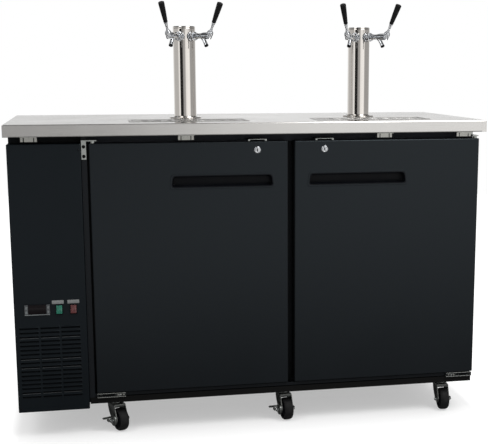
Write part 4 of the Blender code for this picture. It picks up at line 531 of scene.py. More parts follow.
def tile(low, high, radius, thickness, edge, y):
    """A rounded plate that faces the front, between (x, z) corners and from y forward."""
    return at(plate(rounded_rectangle(low, high, radius), thickness, edge), FACE_FRONT, (0, y, 0))


def copied(shape, *places):
    """Copies of the shape, one at each place."""
    whole = joined(*[at(shape.copy(), place) for place in places])
    shape.free()
    return whole


def mesh_of(name, parts, crease=35):
    """A mesh from (shape, surface) pairs, smooth but for edges sharper than the crease."""
    mesh = bpy.data.meshes.new(name)
    whole = bmesh.new()
    for shape, surface in parts:
        if surface.material not in mesh.materials[:]:
            mesh.materials.append(surface.material)
        slot = mesh.materials[:].index(surface.material)
        for face in shape.faces:
            face.material_index = slot
            face.smooth = True
        pour(shape, whole)
    whole.to_mesh(mesh)
    whole.free()
    mesh.set_sharp_from_angle(angle=math.radians(crease))
    return mesh


def show(name, mesh, body, place=None, replaces=()):
    """Adds the mesh to the scene as a piece that rides on the body."""
    piece = bpy.data.objects.new(name, mesh)
    bpy.context.scene.collection.objects.link(piece)
    if place is not None:
        piece.matrix_world = place
    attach(piece, body)
    if replaces:
        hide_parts(*replaces)


def piece(name, body, parts, place=None, replaces=(), slot=None, crease=35):
    show(name, mesh_of(name, parts, crease), body, place, replaces)


# CAD nodes that keep their own shape

KEPT = (
    (STAINLESS, "countertop"), (TRAY_STEEL, "left_drip_pan", "right_drip_pan"), (BODY_COAT, "outer_casing"),
    (BASE_COAT, "base_frame"), (LINER_WHITE, "insulated_liner", "left_door_panel", "right_door_panel"),
    (FRAME_PLASTIC, "front_frame"), (COVER_COAT, "grille_cover"),
    (BLACK_PLASTIC, "switch_block", "cord_gland", "condenser_fan", "evaporator_fan"),
    (ZINC, "top_left_hinge", "top_right_hinge"), (HINGE_STEEL, "bottom_left_hinge", "bottom_right_hinge"),
    (FINS_WITH_GAP_SHADE, "condenser"), (WHITE_PLASTIC, "evaporator"), (DOOR_COAT, "left_door_skin", "right_door_skin"),
)


def dress(node, surface):
    mesh = frame["nodes"][node].data
    mesh.materials.clear()
    mesh.materials.append(surface.material)
    for face in mesh.polygons:
        face.use_smooth = True
    mesh.set_sharp_from_angle(angle=math.radians(32))


def repaint(node, surface, low, high):
    """Gives the node's faces that lie wholly within the box another surface."""
    holder = frame["nodes"][node]
    mesh = holder.data
    mesh.materials.append(surface.material)
    inside = [all(low[k] <= (holder.matrix_world @ vertex.co)[k] <= high[k] for k in range(3))
              for vertex in mesh.vertices]
    for face in mesh.polygons:
        if all(inside[index] for index in face.vertices):
            face.material_index = len(mesh.materials) - 1


for surface, *nodes in KEPT:
    for node in nodes:
        dress(node, surface)
repaint("countertop", CLIP_STEEL, (-1, -1, 0.90), (1, -0.2, 0.9716))


# Towers and taps

TAP_HEIGHT = 0.275
TAP_ANGLE = 30
TAP_PIVOT = offset((0, -0.1346, 0)) @ turn("X", 29.5)
BALL_HEIGHT = 0.014


def column_mesh():
    """The tube with its pressed cap, and the flange it is welded to."""
    cap = mm((0, 309.4), (20.9, 309.2), (35.8, 308.9), (37.4, 308), (38.1, 306), (38.1, 302.9), (37.6, 302.6))
    wall = mm((37.6, 302.2), (37.9, 301.7), (38, 300.9), (38, 203.94), (38, 101.97), (38, 8.5))
    flange = mm((38.3, 6.6), (39, 5.2), (40.4, 4.3), (50, 3.8), (53.4, 3.5), (54.6, 2.7), (55, 1.6),
                (54.8, 0.2), (30, 0.2))
    heads = copied(screw(0.0032, 0.0016), *around(0.0468, 0.0038))
    return mesh_of("tower_column", [(lathe(cap + wall + flange, 96), COLUMN_STEEL), (heads, BOLT_STEEL)], 40)


def faucet_mesh():
    """Shank collar, coupling nut, body, spout and bonnet of one faucet, its spout along -Y."""
    collar = lathe(mm((9, 44), (15, 44), (15.8, 43.4), (16, 42.4), (16, 40.5), (15.4, 39.8), (15.4, 39),
                      (16, 38.2), (16, 30)))
    nut = lathe(mm((9, 60.3), (12.8, 60.3), (14.1, 59.8), (14.5, 58.8), (14.5, 48.4), (14.1, 47.4),
                   (12.8, 46.9), (9, 46.9)), 96, flutes=8, flute_depth=0.0013, fluted=(2, 3, 4, 5))
    body = lathe(softened(mm((0, 139.2), (6.2, 139), (9.2, 137.2), (10.8, 133.5), (11, 124), (11, 106),
                             (10, 99), (8.8, 93), (8.5, 84), (8.5, 76), (9.4, 72.5), (9.8, 70), (9.8, 64),
                             (10.4, 61.8), (10.4, 59.8)), 0.003))
    # A black ring in the gap between collar and nut: painted shade.
    gap_shade_ring = lathe(mm((10, 47.2), (10, 43.8)), 40)
    seam = lathe(mm((16.1, 39.6), (16.3, 40), (16.3, 40.6), (16.1, 41)))
    holes = [at(lathe(mm((2.1, 0.2), (1.6, 0.1), (1.4, -1.2), (0, -1.2)), 20),
                (0, 0, 0.0145), turn("Y", 90), (0, 0, 0.0536), turn("Z", 35 + 90 * k)) for k in range(4)]
    path = softened(mm((0, -96.5, 1), (0, -103.5, -8.5), (0, -112, -21), (0, -120, -33.5)), 0.006, 6)
    last = len(path) - 1
    radii = [0.0093 - 0.0030 * min(1.0, 2.2 * k / last) for k in range(last + 1)]
    radii[-2:] = [0.0066, 0.0066]
    spout = tube(path, radii, 40, bore=0.0057)
    tip = Vector(path[-1])
    ahead = (tip - Vector(path[-2])).normalized()
    # A black plug in the spout's bore: painted shade.
    bore_shade_plug = tube([tip - ahead * 0.0050, tip - ahead * 0.0010], 0.00565, 32)
    sleeve = tube([tip + ahead * k for k in (-0.0034, -0.0030, -0.0004, 0.0001)],
                  [0.0067, 0.0070, 0.0070, 0.0066], 40)
    neck = lathe(mm((9.8, -8), (10, 1), (9.6, 2.6), (9, 3.4)), 48)
    bonnet = lathe(mm((9.2, 3), (10.1, 3.3), (10.6, 4.2), (10.6, 11), (10.2, 12.4), (9.4, 13.6), (8.6, 15),
                      (7.9, 15.5), (7, 15.3), (6.6, 14.5)), 96, flutes=12, flute_depth=0.0009, fluted=(2, 3))
    bright = joined(at(joined(collar, nut, body), FACE_FRONT), spout, at(joined(neck, bonnet), TAP_PIVOT))
    dark = joined(at(joined(gap_shade_ring, *holes, seam), FACE_FRONT), bore_shade_plug, sleeve)
    return mesh_of("faucet", [(bright, CHROME), (dark, BLACK_PLASTIC)], 50)


def lever_mesh():
    """Ball, waisted stem, ferrule and its lock nut."""
    ball = arc(0.0075, -80, 10, 14)
    stem = softened(ball[-1:] + mm((4.4, 8.5), (3.6, 12.5), (3.7, 17.5), (4.7, 21.5), (5, 24.5), (4.2, 26.2),
                                   (4.6, 27.6), (6, 28.4), (6, 33.6), (5.5, 34.1), (3.2, 34.1), (3, 44)),
                    0.0012)
    return mesh_of("lever", [(lathe([(0, -0.0075)] + ball + stem[1:], 40), CHROME)], 50)


def handle_mesh():
    """The tapered grip, with a crowned top and a shallow neck groove."""
    side = softened(mm((5.8, 34.5), (6.9, 34.5), (7.1, 35.7), (7.1, 40.5), (6.6, 41.3), (6.7, 42.3),
                       (7.4, 43.5), (9, 72.5), (10.1, 99.5), (10, 103.3), (8.6, 104.4)), 0.0012)
    profile = mm((3, 34.5)) + side[1:] + mm((4.5, 104.8), (0, 104.9))
    return mesh_of("grip", [(lathe(profile, 48), GRIP_PLASTIC)], 50)


def build_towers():
    column, faucet, lever, handle = column_mesh(), faucet_mesh(), lever_mesh(), handle_mesh()
    for tower, (x, degrees) in TOWERS.items():
        foot = offset((x, TOWER_Y, COUNTER_TOP)) @ turn("Z", degrees)
        show(tower + "_column_skin", column, "cabinet", foot, (tower + "_column",))
        for side, way in (("left", -1), ("right", 1)):
            tap = f"{tower}_{side}"
            place = foot @ turn("Z", way * TAP_ANGLE) @ offset((0, 0, TAP_HEIGHT))
            ball = place @ TAP_PIVOT @ offset((0, 0, BALL_HEIGHT))
            show(tap + "_faucet_skin", faucet, "cabinet", place, (tap + "_faucet",))
            show(tap + "_lever_skin", lever, tap + "_tap", ball, (tap + "_lever",))
            show(tap + "_grip", handle, tap + "_tap", ball, (tap + "_handle",))


build_towers()


# Countertop details

def build_drip_grilles():
    """Slotted plates with rolled slot edges, lying in the pans."""
    for side in ("left", "right"):
        node = side + "_drip_grille"
        low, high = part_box(node)
        column, row = (high.x - low.x) / 9, (high.y - low.y) / 4
        slots = []
        for across in range(1, 9):
            for up in range(1, 4):
                x, y = low.x + column * across, low.y + row * up
                slots.append(rounded_rectangle((x - column * 0.36, y - 0.005), (x + column * 0.36, y + 0.005),
                                               0.0049, 6))
        grille = plate(rounded_rectangle(low, high, 0.004), high.z - low.z, 0.0005, slots)
        piece(node + "_skin", side + "_grille", [(at(grille, (0, 0, low.z)), TRAY_STEEL)], replaces=(node,),
              slot="stainless")


def build_counter_folds():
    """The folded and welded tabs at the skirt's corners, one on each side of the corner."""
    tabs = []
    for side in (-1, 1):
        for front in (-1, 1):
            x, y = side * COUNTER_HALF_X, front * COUNTER_HALF_Y
            for out_x, in_x, out_y, in_y in mm((0.2, 16.2, 0.3, 0.4), (0.3, 0.4, 0.2, 10.2)):
                tabs.append(block((x + side * out_x, y + front * out_y, SKIRT_BOTTOM - 0.0002),
                                  (x - side * in_x, y - front * in_y, COUNTER_TOP - 0.003), 0.0002, 1))
    piece("counter_corner_folds", "cabinet", [(joined(*tabs), STAINLESS)], slot="stainless")


build_drip_grilles()
build_counter_folds()


# Doors

HANDLE_INSET, HANDLE_LENGTH = 0.048, 0.327
HANDLE_DROP, HANDLE_HEIGHT = 0.107, 0.036
SEAL_BACK = -0.2647


def lock_face():
    """The plug's face with a turned groove, its keyway and barrel, facing -Y from the door's front."""
    rim = softened(mm((10.4, 0), (10.4, 2.2), (9.4, 3), (8, 3), (7.6, 2.4), (7, 2.4), (6.7, 2.8), (2.6, 2.8)),
                   0.0004, 2)
    face = lathe(rim + mm((2.4, 1.8), (2.4, 0.8), (0, 0.8)))
    barrel = lathe(mm((8.8, 0), (8.8, -11.8), (0, -11.8)), 40)
    collar = plate(centred(0.0021, 0.0050, 0.0015), 0.0004, 0.0001)
    keyway = plate(centred(0.0017, 0.0046, 0.0012), 0.0006, 0.0002)
    return [(at(face, FACE_FRONT), LOCK_STEEL), (at(barrel, FACE_FRONT), ZINC),
            (at(collar, (0, 0, 0.0026), FACE_FRONT), BOLT_STEEL),
            (at(keyway, (0, 0, 0.0026), FACE_FRONT), BLACK_PLASTIC)]


def build_locks():
    for side, degrees in (("left", 0), ("right", 180)):
        outline = mm((-34, -4.8), (-35.9, -3), (-35.9, 3), (-34, 4.8), (5.5, 6), (5.5, -6))
        cam = plate(softened(outline, 0.002, closed=True), 0.0025)
        at(cam, turn("Z", degrees), FACE_FRONT, (0, 0.0142, 0))
        place = offset((LOCKS[side], DOOR_FRONT, LOCK_HEIGHT))
        piece(side + "_lock_skin", side + "_lock_plug", lock_face() + [(cam, ZINC)], place, (side + "_lock",),
              "polished")
        ring = mm((10.6, 0.2), (10.6, 1.2), (10.9, 1.6), (11.4, 1.2), (11.6, 0.4), (11.6, -0.1))
        ring = at(lathe(softened(ring, 0.0003, 2)), FACE_FRONT)
        piece(side + "_lock_bezel", side + "_door", [(ring, CHROME)], place, slot="polished")


def handle_outline(side, grow):
    """The handle recess from the front, drawn out by grow, a little narrower at its top."""
    left, right = DOORS[side]
    start = right - HANDLE_INSET - HANDLE_LENGTH if side == "left" else left + HANDLE_INSET
    low_x, high_x = start - grow, start + HANDLE_LENGTH + grow
    low_z, high_z = DOOR_TOP - HANDLE_DROP - HANDLE_HEIGHT - grow, DOOR_TOP - HANDLE_DROP + grow
    taper = 0.005
    corners = [(low_x, low_z), (high_x, low_z), (high_x - taper, high_z), (low_x + taper, high_z)]
    return softened(corners, 0.010, 6, closed=True)


def build_handle_inserts():
    """Black moulded liners in the handle recesses, with a thin lip and a border on the door's face."""
    for side in DOORS:
        border = plate(handle_outline(side, 0.0062), 0.0009, 0.0004, [handle_outline(side, 0.0012)])
        lip = plate(handle_outline(side, 0.0014), 0.0010, 0.0004, [handle_outline(side, -0.0012)])
        back = plate(handle_outline(side, -0.0003), 0.0008, 0.0002)
        wall = bmesh.new()
        skin(wall, [[wall.verts.new((x, depth, z)) for x, z in handle_outline(side, grow)]
                    for grow, depth in mm((-1.2, 0.6), (-1.4, 4), (-1.8, 18), (-3, 23.5), (-6, 25.5))])
        bmesh.ops.reverse_faces(outward(wall), faces=wall.faces)
        black = joined(at(lip, FACE_FRONT), at(back, FACE_FRONT, (0, 0.0262, 0)), wall)
        piece(side + "_handle_insert", side + "_door",
              [(at(border, FACE_FRONT), DOOR_COAT), (black, BLACK_PLASTIC)],
              offset((0, DOOR_FRONT, 0)), slot="black_plastic", crease=50)


def build_gaskets():
    """Bellows seals: a dart side, two soft folds and the magnet face."""
    section = softened(mm((0, 0), (6, 0), (6, 1.2), (3.5, 2.6), (1, 3.6), (3.5, 4.6), (0.8, 5.8), (0.8, 9.4),
                          (16, 9.4), (16.8, 8.6), (16.8, 6), (13, 4.6), (16.5, 3.6), (13.5, 2.4), (12, 1.2),
                          (12, 0)), 0.0006, 2, closed=True)
    for side, (left, right) in DOORS.items():
        shape = bmesh.new()
        rings = []
        for inset, depth in section:
            edge = 0.010 + inset
            outline = rounded_rectangle((left + edge, DOOR_BOTTOM + edge), (right - edge, DOOR_TOP - edge),
                                        max(0.0045 - inset * 0.2, 0.0008), 3)
            rings.append([shape.verts.new((x, depth, z)) for x, z in outline])
        skin(shape, rings + rings[:1])
        piece(side + "_door_seal", side + "_door", [(outward(shape), SEAL_RUBBER)],
              offset((0, SEAL_BACK, 0)), (side + "_door_gasket",), "gasket", 60)


def build_strikes():
    """Zinc-plated strike plates over their solids, with turned-down ears."""
    z = DOOR_TOP + 0.0053
    for side, x in LOCKS.items():
        top = block((x - 0.0302, DOOR_FRONT - 0.0004, z), (x + 0.0302, DOOR_FRONT + 0.0100, z + 0.0019),
                    0.0004)
        ears = [block((ear - 0.0032, DOOR_FRONT - 0.0005, z - 0.0042),
                      (ear + 0.0032, DOOR_FRONT + 0.0018, z + 0.0012), 0.0005)
                for ear in (x - 0.0271, x + 0.0271)]
        piece(side + "_strike_plate", "cabinet", [(joined(top, *ears), ZINC)], slot="zinc")


build_locks()
build_handle_inserts()
build_gaskets()
build_strikes()


# Machine bay cover: controller, switches, plates and louvres

LOUVRES_LEFT, LOUVRES_WIDTH, LOUVRES_TOP = -0.753, 0.187, 0.373
LOUVRE_PITCH, LOUVRE_GAP = 0.014, 0.006
ROCKER_Y, ROCKER_HEIGHT, ROCKER_TILT = -0.3103, 0.4275, -8
# Rows that get a painted glint along a louvre edge
GLINT_ROWS = (2, 7, 9, 15)


def build_controller():
    """A thermostat with a grey key column at each end, a dark window and a pale sill."""
    low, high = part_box("controller")
    left, right, bottom, top = low.x, high.x, low.z, high.z
    face, key_face = low.y + 0.0003, low.y - 0.0003
    rim = tile((left, bottom), (right, top), 0.0022, 0.0028, 0.0007, DOOR_FRONT - 0.0003)
    case = block((left + 0.0042, DOOR_FRONT, bottom + 0.0032), (right - 0.0042, high.y, top - 0.0032), 0.001)
    columns, keys = [], []
    for x_low, x_high in ((left + 0.0006, left + 0.0112), (right - 0.0112, right - 0.0006)):
        columns.append(tile((x_low, bottom + 0.0030), (x_high, top - 0.0008), 0.0012, 0.0008, 0.0003, face))
        for share in (0.18, 0.58):
            z = bottom + (top - bottom) * share
            keys.append(tile((x_low + 0.0022, z), (x_high - 0.0022, z + 0.0085), 0.0018, 0.0006, 0.00025,
                             key_face))
    sill = tile((left + 0.0008, bottom + 0.0005), (right - 0.0008, bottom + 0.0034), 0.0006, 0.0009, 0.0003,
                face)
    window = tile((left + 0.0122, bottom + 0.0044), (right - 0.0122, top - 0.0018), 0.0014, 0.0007, 0.0002,
                  face)
    piece("controller_skin", "cabinet",
          [(joined(rim, case), BLACK_PLASTIC), (joined(*columns), GREY_PLASTIC),
           (joined(*keys, sill), PALE_PLASTIC), (window, DISPLAY)],
          replaces=("controller",), slot="grey_plastic")


def rocker_mesh(surface):
    """A dished rocker with ribs across it, turning about its own X."""
    half, tall, back, rows = 0.0092, 0.0130, 0.0005, 44
    shape = bmesh.new()
    rings = []
    for index in range(rows + 1):
        z = 2 * tall * index / rows - tall
        share = abs(z) / tall
        y = -0.0045 - 0.0020 * share ** 2
        rib = 0.00045 * max(0.0, math.cos(z / tall * math.pi * 7)) ** 2 if 0.15 < share < 0.85 else 0.0
        edge = 0.0006 if index in (0, rows) else 0.0
        across = [(half, 0, 0.002), (half - 0.0003, 0, 0.0006), (half - 0.0012, 0.2, 0), (half * 0.5, 1, 0)]
        across = [(-x, flat, drop) for x, flat, drop in across] + across[::-1]
        rings.append([shape.verts.new((x, y - rib * flat + drop + edge, z)) for x, flat, drop in across])
    skin(shape, rings, closed=False)
    for line in (rings[0], rings[-1], [ring[0] for ring in rings], [ring[-1] for ring in rings]):
        foot = [shape.verts.new((vertex.co.x, back, vertex.co.z)) for vertex in line]
        skin(shape, [line, foot], closed=False)
    bmesh.ops.remove_doubles(shape, verts=shape.verts, dist=1e-6)
    return mesh_of("rocker", [(outward(shape), surface)], 40)


def build_switches():
    """The rockers with a bezel round each, and a bare plate above each."""
    for colour, x, label_x, surface in (("green", -0.628, -0.650, GREEN_LENS),
                                        ("red", -0.584, -0.602, RED_LENS)):
        place = offset((x, ROCKER_Y, ROCKER_HEIGHT)) @ turn("X", ROCKER_TILT)
        show(colour + "_rocker_lens", rocker_mesh(surface), colour + "_rocker_switch", place,
             (colour + "_rocker",))
        outer = rounded_rectangle((x - 0.0117, 0.4113), (x + 0.0117, 0.4437), 0.0016)
        inner = rounded_rectangle((x - 0.0098, 0.4133), (x + 0.0098, 0.4417), 0.0008)
        bezel = at(plate(outer, 0.0012, 0.0005, [inner]), FACE_FRONT, (0, -0.3126, 0))
        piece(colour + "_switch_bezel", "cabinet", [(bezel, BLACK_PLASTIC)], slot="black_plastic")
        label = tile((label_x, 0.446), (label_x + 0.0365, 0.4575), 0.0012, 0.0007, 0.0002, DOOR_FRONT)
        piece(colour + "_switch_plate", "cabinet", [(label, PLATE_FILM)], slot="grey_plastic")


def build_louvres():
    """Pressed hoods over the slots, slanted slats behind them, and pale strips on some rows that are painted
    glints.
    """
    column = (LOUVRES_WIDTH + LOUVRE_GAP) / 3
    section = mm((0, 1.2), (-0.9, 0.8), (-1.4, -0.4), (-1.3, -1.8), (-0.3, -1.6), (0.6, -0.4))
    hoods, slats, edges = [], [], []
    for row in range(17):
        top = LOUVRES_TOP - row * LOUVRE_PITCH
        for index in range(3):
            start = LOUVRES_LEFT + index * column
            end = start + column - LOUVRE_GAP
            hood = bmesh.new()
            skin(hood, [[hood.verts.new((x, DOOR_FRONT + 0.0002 + y * scale,
                                         top + 0.0006 + z * (0.35 + 0.65 * scale))) for y, z in section]
                        for x, scale in ((start - 0.0010, 0.0), (start + 0.0008, 0.7), (start + 0.0030, 1.0),
                                         (end - 0.0030, 1.0), (end - 0.0008, 0.7), (end + 0.0010, 0.0))],
                 closed=False)
            hoods.append(outward(hood))
            # Pale strips on these rows are painted glints along the louvre edges.
            if row in GLINT_ROWS:
                edges.append(block((start + 0.001, DOOR_FRONT - 0.0003, top - 0.0078),
                                   (end - 0.001, DOOR_FRONT + 0.0004, top - 0.0071), 0.0002, 1))
        slat = block((LOUVRES_LEFT - 0.003, -0.0004, -0.0075),
                     (LOUVRES_LEFT + LOUVRES_WIDTH + 0.003, 0.0004, 0.0075), 0.0002, 1)
        slats.append(at(slat, turn("X", -38), (0, DOOR_FRONT + 0.0075, top - 0.0035)))
    piece("louvre_hoods", "cabinet", [(joined(*hoods), COVER_COAT)], slot="black_steel", crease=45)
    piece("louvre_slats", "cabinet", [(joined(*slats), BODY_COAT), (joined(*edges), PAINTED_GLINT)],
          slot="black_steel")


build_controller()
build_switches()
build_louvres()


# Header and gap strip with painted light, foot hinges and screws

FRAME_LEFT, FRAME_RIGHT = -0.5410, 0.7540
POST_FACE, FOOT_HINGE_FACE = -0.3062, -0.3100


def screw_heads(radius, height, y, places):
    """Screw heads that face the front, at (x, z) places."""
    return copied(at(screw(radius, height), FACE_FRONT), *[(x, y, z) for x, z in places])


def build_headers():
    """The frame's header, paler with painted light; a strip that lightens the shaded gap below the doors, as
    painted light; painted highlights on the foot hinges' edges; and screws.
    """
    # A paler strip on the frame's header: painted light that lifts its shade.
    strip = block((FRAME_LEFT, FRAME_FACE - 0.0006, DOOR_TOP - 0.004),
                  (FRAME_RIGHT, FRAME_FACE + 0.0004, 0.9985), 0.0002, 1)
    piece("frame_header_painted_light", "cabinet", [(strip, HEADER_PAINTED_LIGHT)], slot="black_plastic")
    # A strip in the shaded gap below the doors, there only to lighten that gap: painted light.
    lip = block((FRAME_LEFT, -0.3020, 0.1306), (FRAME_RIGHT, -0.3006, 0.1412), 0.0003, 1)
    piece("gap_strip_painted_light", "cabinet", [(lip, BODY_COAT)], slot="black_steel")
    edges, heads = [], []
    for side in DOORS:
        low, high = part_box("bottom_" + side + "_hinge")
        front, top = low.y, low.z + FOOT_HINGE_HEIGHT
        # Thin pale strips on the hinge's top and bottom edges: painted highlights.
        for z in (low.z, top - 0.0012):
            edges.append(block((low.x + 0.0006, front - 0.0004, z),
                               (high.x - 0.0006, front + 0.0008, z + 0.0012), 0.0003, 1))
        start = high.x - 0.026 if side == "left" else low.x + 0.010
        heads.append(screw_heads(0.0030, 0.0012, front,
                                 [(start + step * 0.009, (low.z + top) / 2) for step in range(3)]))
    piece("foot_hinge_painted_highlights", "cabinet", [(joined(*edges), ZINC_PAINTED_HIGHLIGHT), (joined(*heads), CLIP_STEEL)],
          slot="zinc")


def build_fasteners():
    post = screw_heads(0.0054, 0.0020, POST_FACE, [(-0.5350, 0.939), (-0.5350, 0.909)])
    cover = screw_heads(0.0034, 0.0015, DOOR_FRONT,
                        [(x, z) for z in (0.930, 0.106) for x in (-0.7595, -0.5515)])
    piece("front_screws", "cabinet", [(post, BASE_COAT), (cover, BODY_COAT)], slot="zinc")
    studs = screw_heads(0.0036, 0.0016, FOOT_HINGE_FACE, [(-0.4480, 0.1352), (0.6830, 0.1352)])
    piece("foot_hinge_screws", "cabinet", [(studs, BOLT_STEEL)], slot="zinc")


build_headers()
build_fasteners()


# Casters

WHEEL_TRAIL = 0.030
AXLE_HEIGHT = 0.0375
LEG_INNER, LEG_OUTER = 0.018, 0.0208
PLATE_HEIGHT = 0.1047
BRAKE_ROOM = 0.0086
BRAKED = ("front_left", "front_middle")


def leg_outline():
    """A fork leg from the side: broad below the crown, bowed behind, round at the axle."""
    points = mm((25.8, 84), (22.8, 85.8), (-22.8, 85.8), (-26.2, 83.5))
    points += arc(0.016, 180, 13, 11, (-WHEEL_TRAIL, AXLE_HEIGHT))
    start, middle, end = points[-1], (0.017, 0.043), points[0]
    for t in [k / 10 for k in range(1, 10)]:
        points.append(tuple((1 - t) ** 2 * a + 2 * t * (1 - t) * b + t * t * c
                            for a, b, c in zip(start, middle, end)))
    return points


def fork_mesh(brake_room):
    """Two pressed legs on a crown with a turned-down lip, race cup, kingpin rivet, axle bolt and nuts."""
    steel, highlight_lines = [], []
    for side in (-1, 1):
        axle_hole = circle(0.0046, (-WHEEL_TRAIL, AXLE_HEIGHT), 24)
        leg = plate(leg_outline(), LEG_OUTER - LEG_INNER, 0.0005, [axle_hole])
        start = LEG_INNER if side > 0 else -LEG_OUTER
        steel.append(at(leg, Matrix(((0, 0, 1, start), (1, 0, 0, 0), (0, 1, 0, 0), (0, 0, 0, 1)))))
        for radius, bends in ((0.0012, mm((15, 78), (4, 64), (-13, 54))),
                              (0.0009, mm((-21.5, 80.5), (-33, 58.5), (-38.5, 47)))):
            ridge = softened([(side * LEG_OUTER, y, z) for y, z in bends], 0.01, 5)
            steel.append(tube(ridge, [0.0002] + [radius] * 6 + [0.0002], 10))
        # Pale lines along the legs' front edges, and below along the crown's lip: painted highlights.
        highlight_lines.append(tube([(side * 0.0194, -0.0459, AXLE_HEIGHT + 0.0020), (side * 0.0194, -0.0262, 0.0836)],
                         0.0010, 10))
    highlight_lines.append(tube([(-0.0192, -0.0270, 0.0850), (0.0192, -0.0270, 0.0850)], 0.0009, 10))
    steel.append(at(plate(centred(0.0208, 0.0262, 0.0030), 0.0028, 0.0008), (0, 0, 0.0835)))
    steel.append(lathe(softened(mm((0, 79.8), (5, 80), (8.2, 81.6), (8.5, 83.6)), 0.001), 32))
    steel.append(block((-0.0196, -0.0271, 0.0772), (0.0196, -0.0252, 0.0872), 0.0008, 3))
    steel.append(block((-0.0178, 0.0225, 0.0660), (0.0178, 0.0240, 0.0850)))
    cup = lathe(softened(mm((12, 86.2), (18.6, 86.2), (20, 87.4), (20.3, 90.2), (21.2, 91.4), (21.2, 92.9),
                            (20, 93.5), (12, 93.3)), 0.0012), 56)
    axle, bolts = [], []
    for side, seat in ((-1, LEG_OUTER + brake_room), (1, LEG_OUTER)):
        end = mm((0, 8.6), (4, 8.6), (4.6, 8))[::-side]
        axle += [(radius, side * (seat + reach)) for radius, reach in end]
        washer = lathe(softened(mm((4.6, 0), (8.8, 0), (8.8, 1.1), (4.6, 1.1)), 0.0003, 2), 40)
        nut = joined(at(washer, (0, 0, 0.0001)), at(hex_nut(0.0130, 0.0058, 0.0046), (0, 0, 0.0011)))
        bolts.append(at(nut, (0, 0, seat), turn("Y", 90 * side)))
    bolts = at(joined(at(lathe(axle, 32), FACE_RIGHT), *bolts), (0, -WHEEL_TRAIL, AXLE_HEIGHT))
    return mesh_of("fork", [(joined(*steel), FORK_STEEL), (cup, ZINC), (joined(*highlight_lines), ZINC_PAINTED_HIGHLIGHT),
                            (bolts, BOLT_STEEL)], 40)


def wheel_mesh():
    """Crowned rubber tyre on a moulded hub with a boss and a bright axle bush."""
    half = mm((29, 14.2), (31.5, 15.6), (34.5, 14.2), (36.8, 9.8), (37.5, 6))
    tyre = softened(half + [(radius, -reach) for radius, reach in half[::-1]], 0.004, 4)
    hub = []
    for side in (1, -1):
        profile = mm((29.1, 13.8), (27.2, 13.6), (25.5, 9.8), (17, 9), (13, 13), (11, 16.2), (5.6, 16.2))
        hub.append(lathe(softened([(radius, side * reach) for radius, reach in profile], 0.0012), 48))
    bush = lathe(mm((5.6, -16.2), (5.6, 16.2)), 32)
    parts = [(lathe(tyre, 96), TYRE), (joined(*hub), BLACK_PLASTIC), (bush, BOLT_STEEL)]
    return mesh_of("wheel", [(at(shape, FACE_RIGHT), surface) for shape, surface in parts], 50)


def brake_mesh():
    """A drum on the axle's left end, with a foot tab above the nut and the tab's turned-down lip."""
    drum = lathe(softened(mm((5.7, 0), (17.2, 0), (18.4, 1.2), (18.4, 6.2), (16.8, 7.8), (12.8, 8), (11.6, 7),
                             (9.8, 7), (9.2, 8), (5.7, 8)), 0.0008, closed=True))
    seam = tube([(x, y, 0.0040) for x, y in arc(0.0058, 0, 10, 37)], 0.0004, 8)
    outline = mm((55, -2), (58.9, 2), (58.9, 12), (55, 16), (25.5, 16), (25.5, -2))
    tab = plate(softened(outline, 0.0022, 4, closed=True), 0.0022, 0.0006)
    outward(at(tab, Matrix.Scale(-1, 4, (1, 0, 0)), (0, 0, 0.0085)))
    curl = tube(mm((-58.5, 1, 8.8), (-59.2, 7, 9), (-58.5, 13, 8.8)), 0.0013, 12)
    lip = block((-0.0426, -0.0018, -0.0034), (-0.0402, 0.0158, 0.0098), 0.0007)
    foot = block((-0.0430, 0.0010, -0.0040), (-0.0398, 0.0130, -0.0024), 0.0007)
    drum = at(joined(drum, seam), FACE_LEFT, (-LEG_OUTER - 0.0003, 0, 0))
    return mesh_of("brake", [(drum, FORK_STEEL), (joined(tab, curl, lip, foot), ZINC)], 40)


def build_casters():
    """Forks, wheels and brakes on their places, and the plates and races that they turn in."""
    fork, braked_fork, wheel, brake = fork_mesh(0.0), fork_mesh(BRAKE_ROOM), wheel_mesh(), brake_mesh()
    pads, bolts = [], []
    for name, (x, y, degrees) in CASTERS.items():
        place = offset((x, y, 0)) @ turn("Z", degrees)
        axle = place @ offset((0, -WHEEL_TRAIL, AXLE_HEIGHT))
        braked = name in BRAKED
        show(name + "_fork_skin", braked_fork if braked else fork, name + "_fork", place,
             (name + "_caster_fork",))
        show(name + "_wheel_skin", wheel, name + "_wheel", axle, (name + "_caster_wheel",))
        if braked:
            show(name + "_brake_skin", brake, name + "_brake", axle, (name + "_brake_lever",))
        race = lathe(softened(mm((25, 2.2), (23, -0.6), (22.1, -3.4), (22.1, -8.4), (22.8, -9.2),
                                 (22.6, -10.6), (20.5, -10.9), (8.5, -10.8)), 0.0012), 56)
        pad = plate(centred(0.0303, 0.0378, 0.006), 0.0034, 0.0005)
        pads.append(at(joined(pad, race), (x, y, PLATE_HEIGHT)))
        bolts.append(copied(at(hex_nut(0.010, 0.0034), turn("X", 180)),
                            *[(x + side_x * 0.0225, y + side_y * 0.0295, PLATE_HEIGHT + 0.0001)
                              for side_x in (-1, 1) for side_y in (-1, 1)]))
    piece("caster_plates", "cabinet", [(joined(*pads), ZINC), (joined(*bolts), BOLT_STEEL)], slot="zinc",
          crease=40)


build_casters()


# Refrigeration

COMPRESSOR = (-0.6534, 0.185)
FAN_OUTLET = (-0.3924, 0.0129, 0.7887)


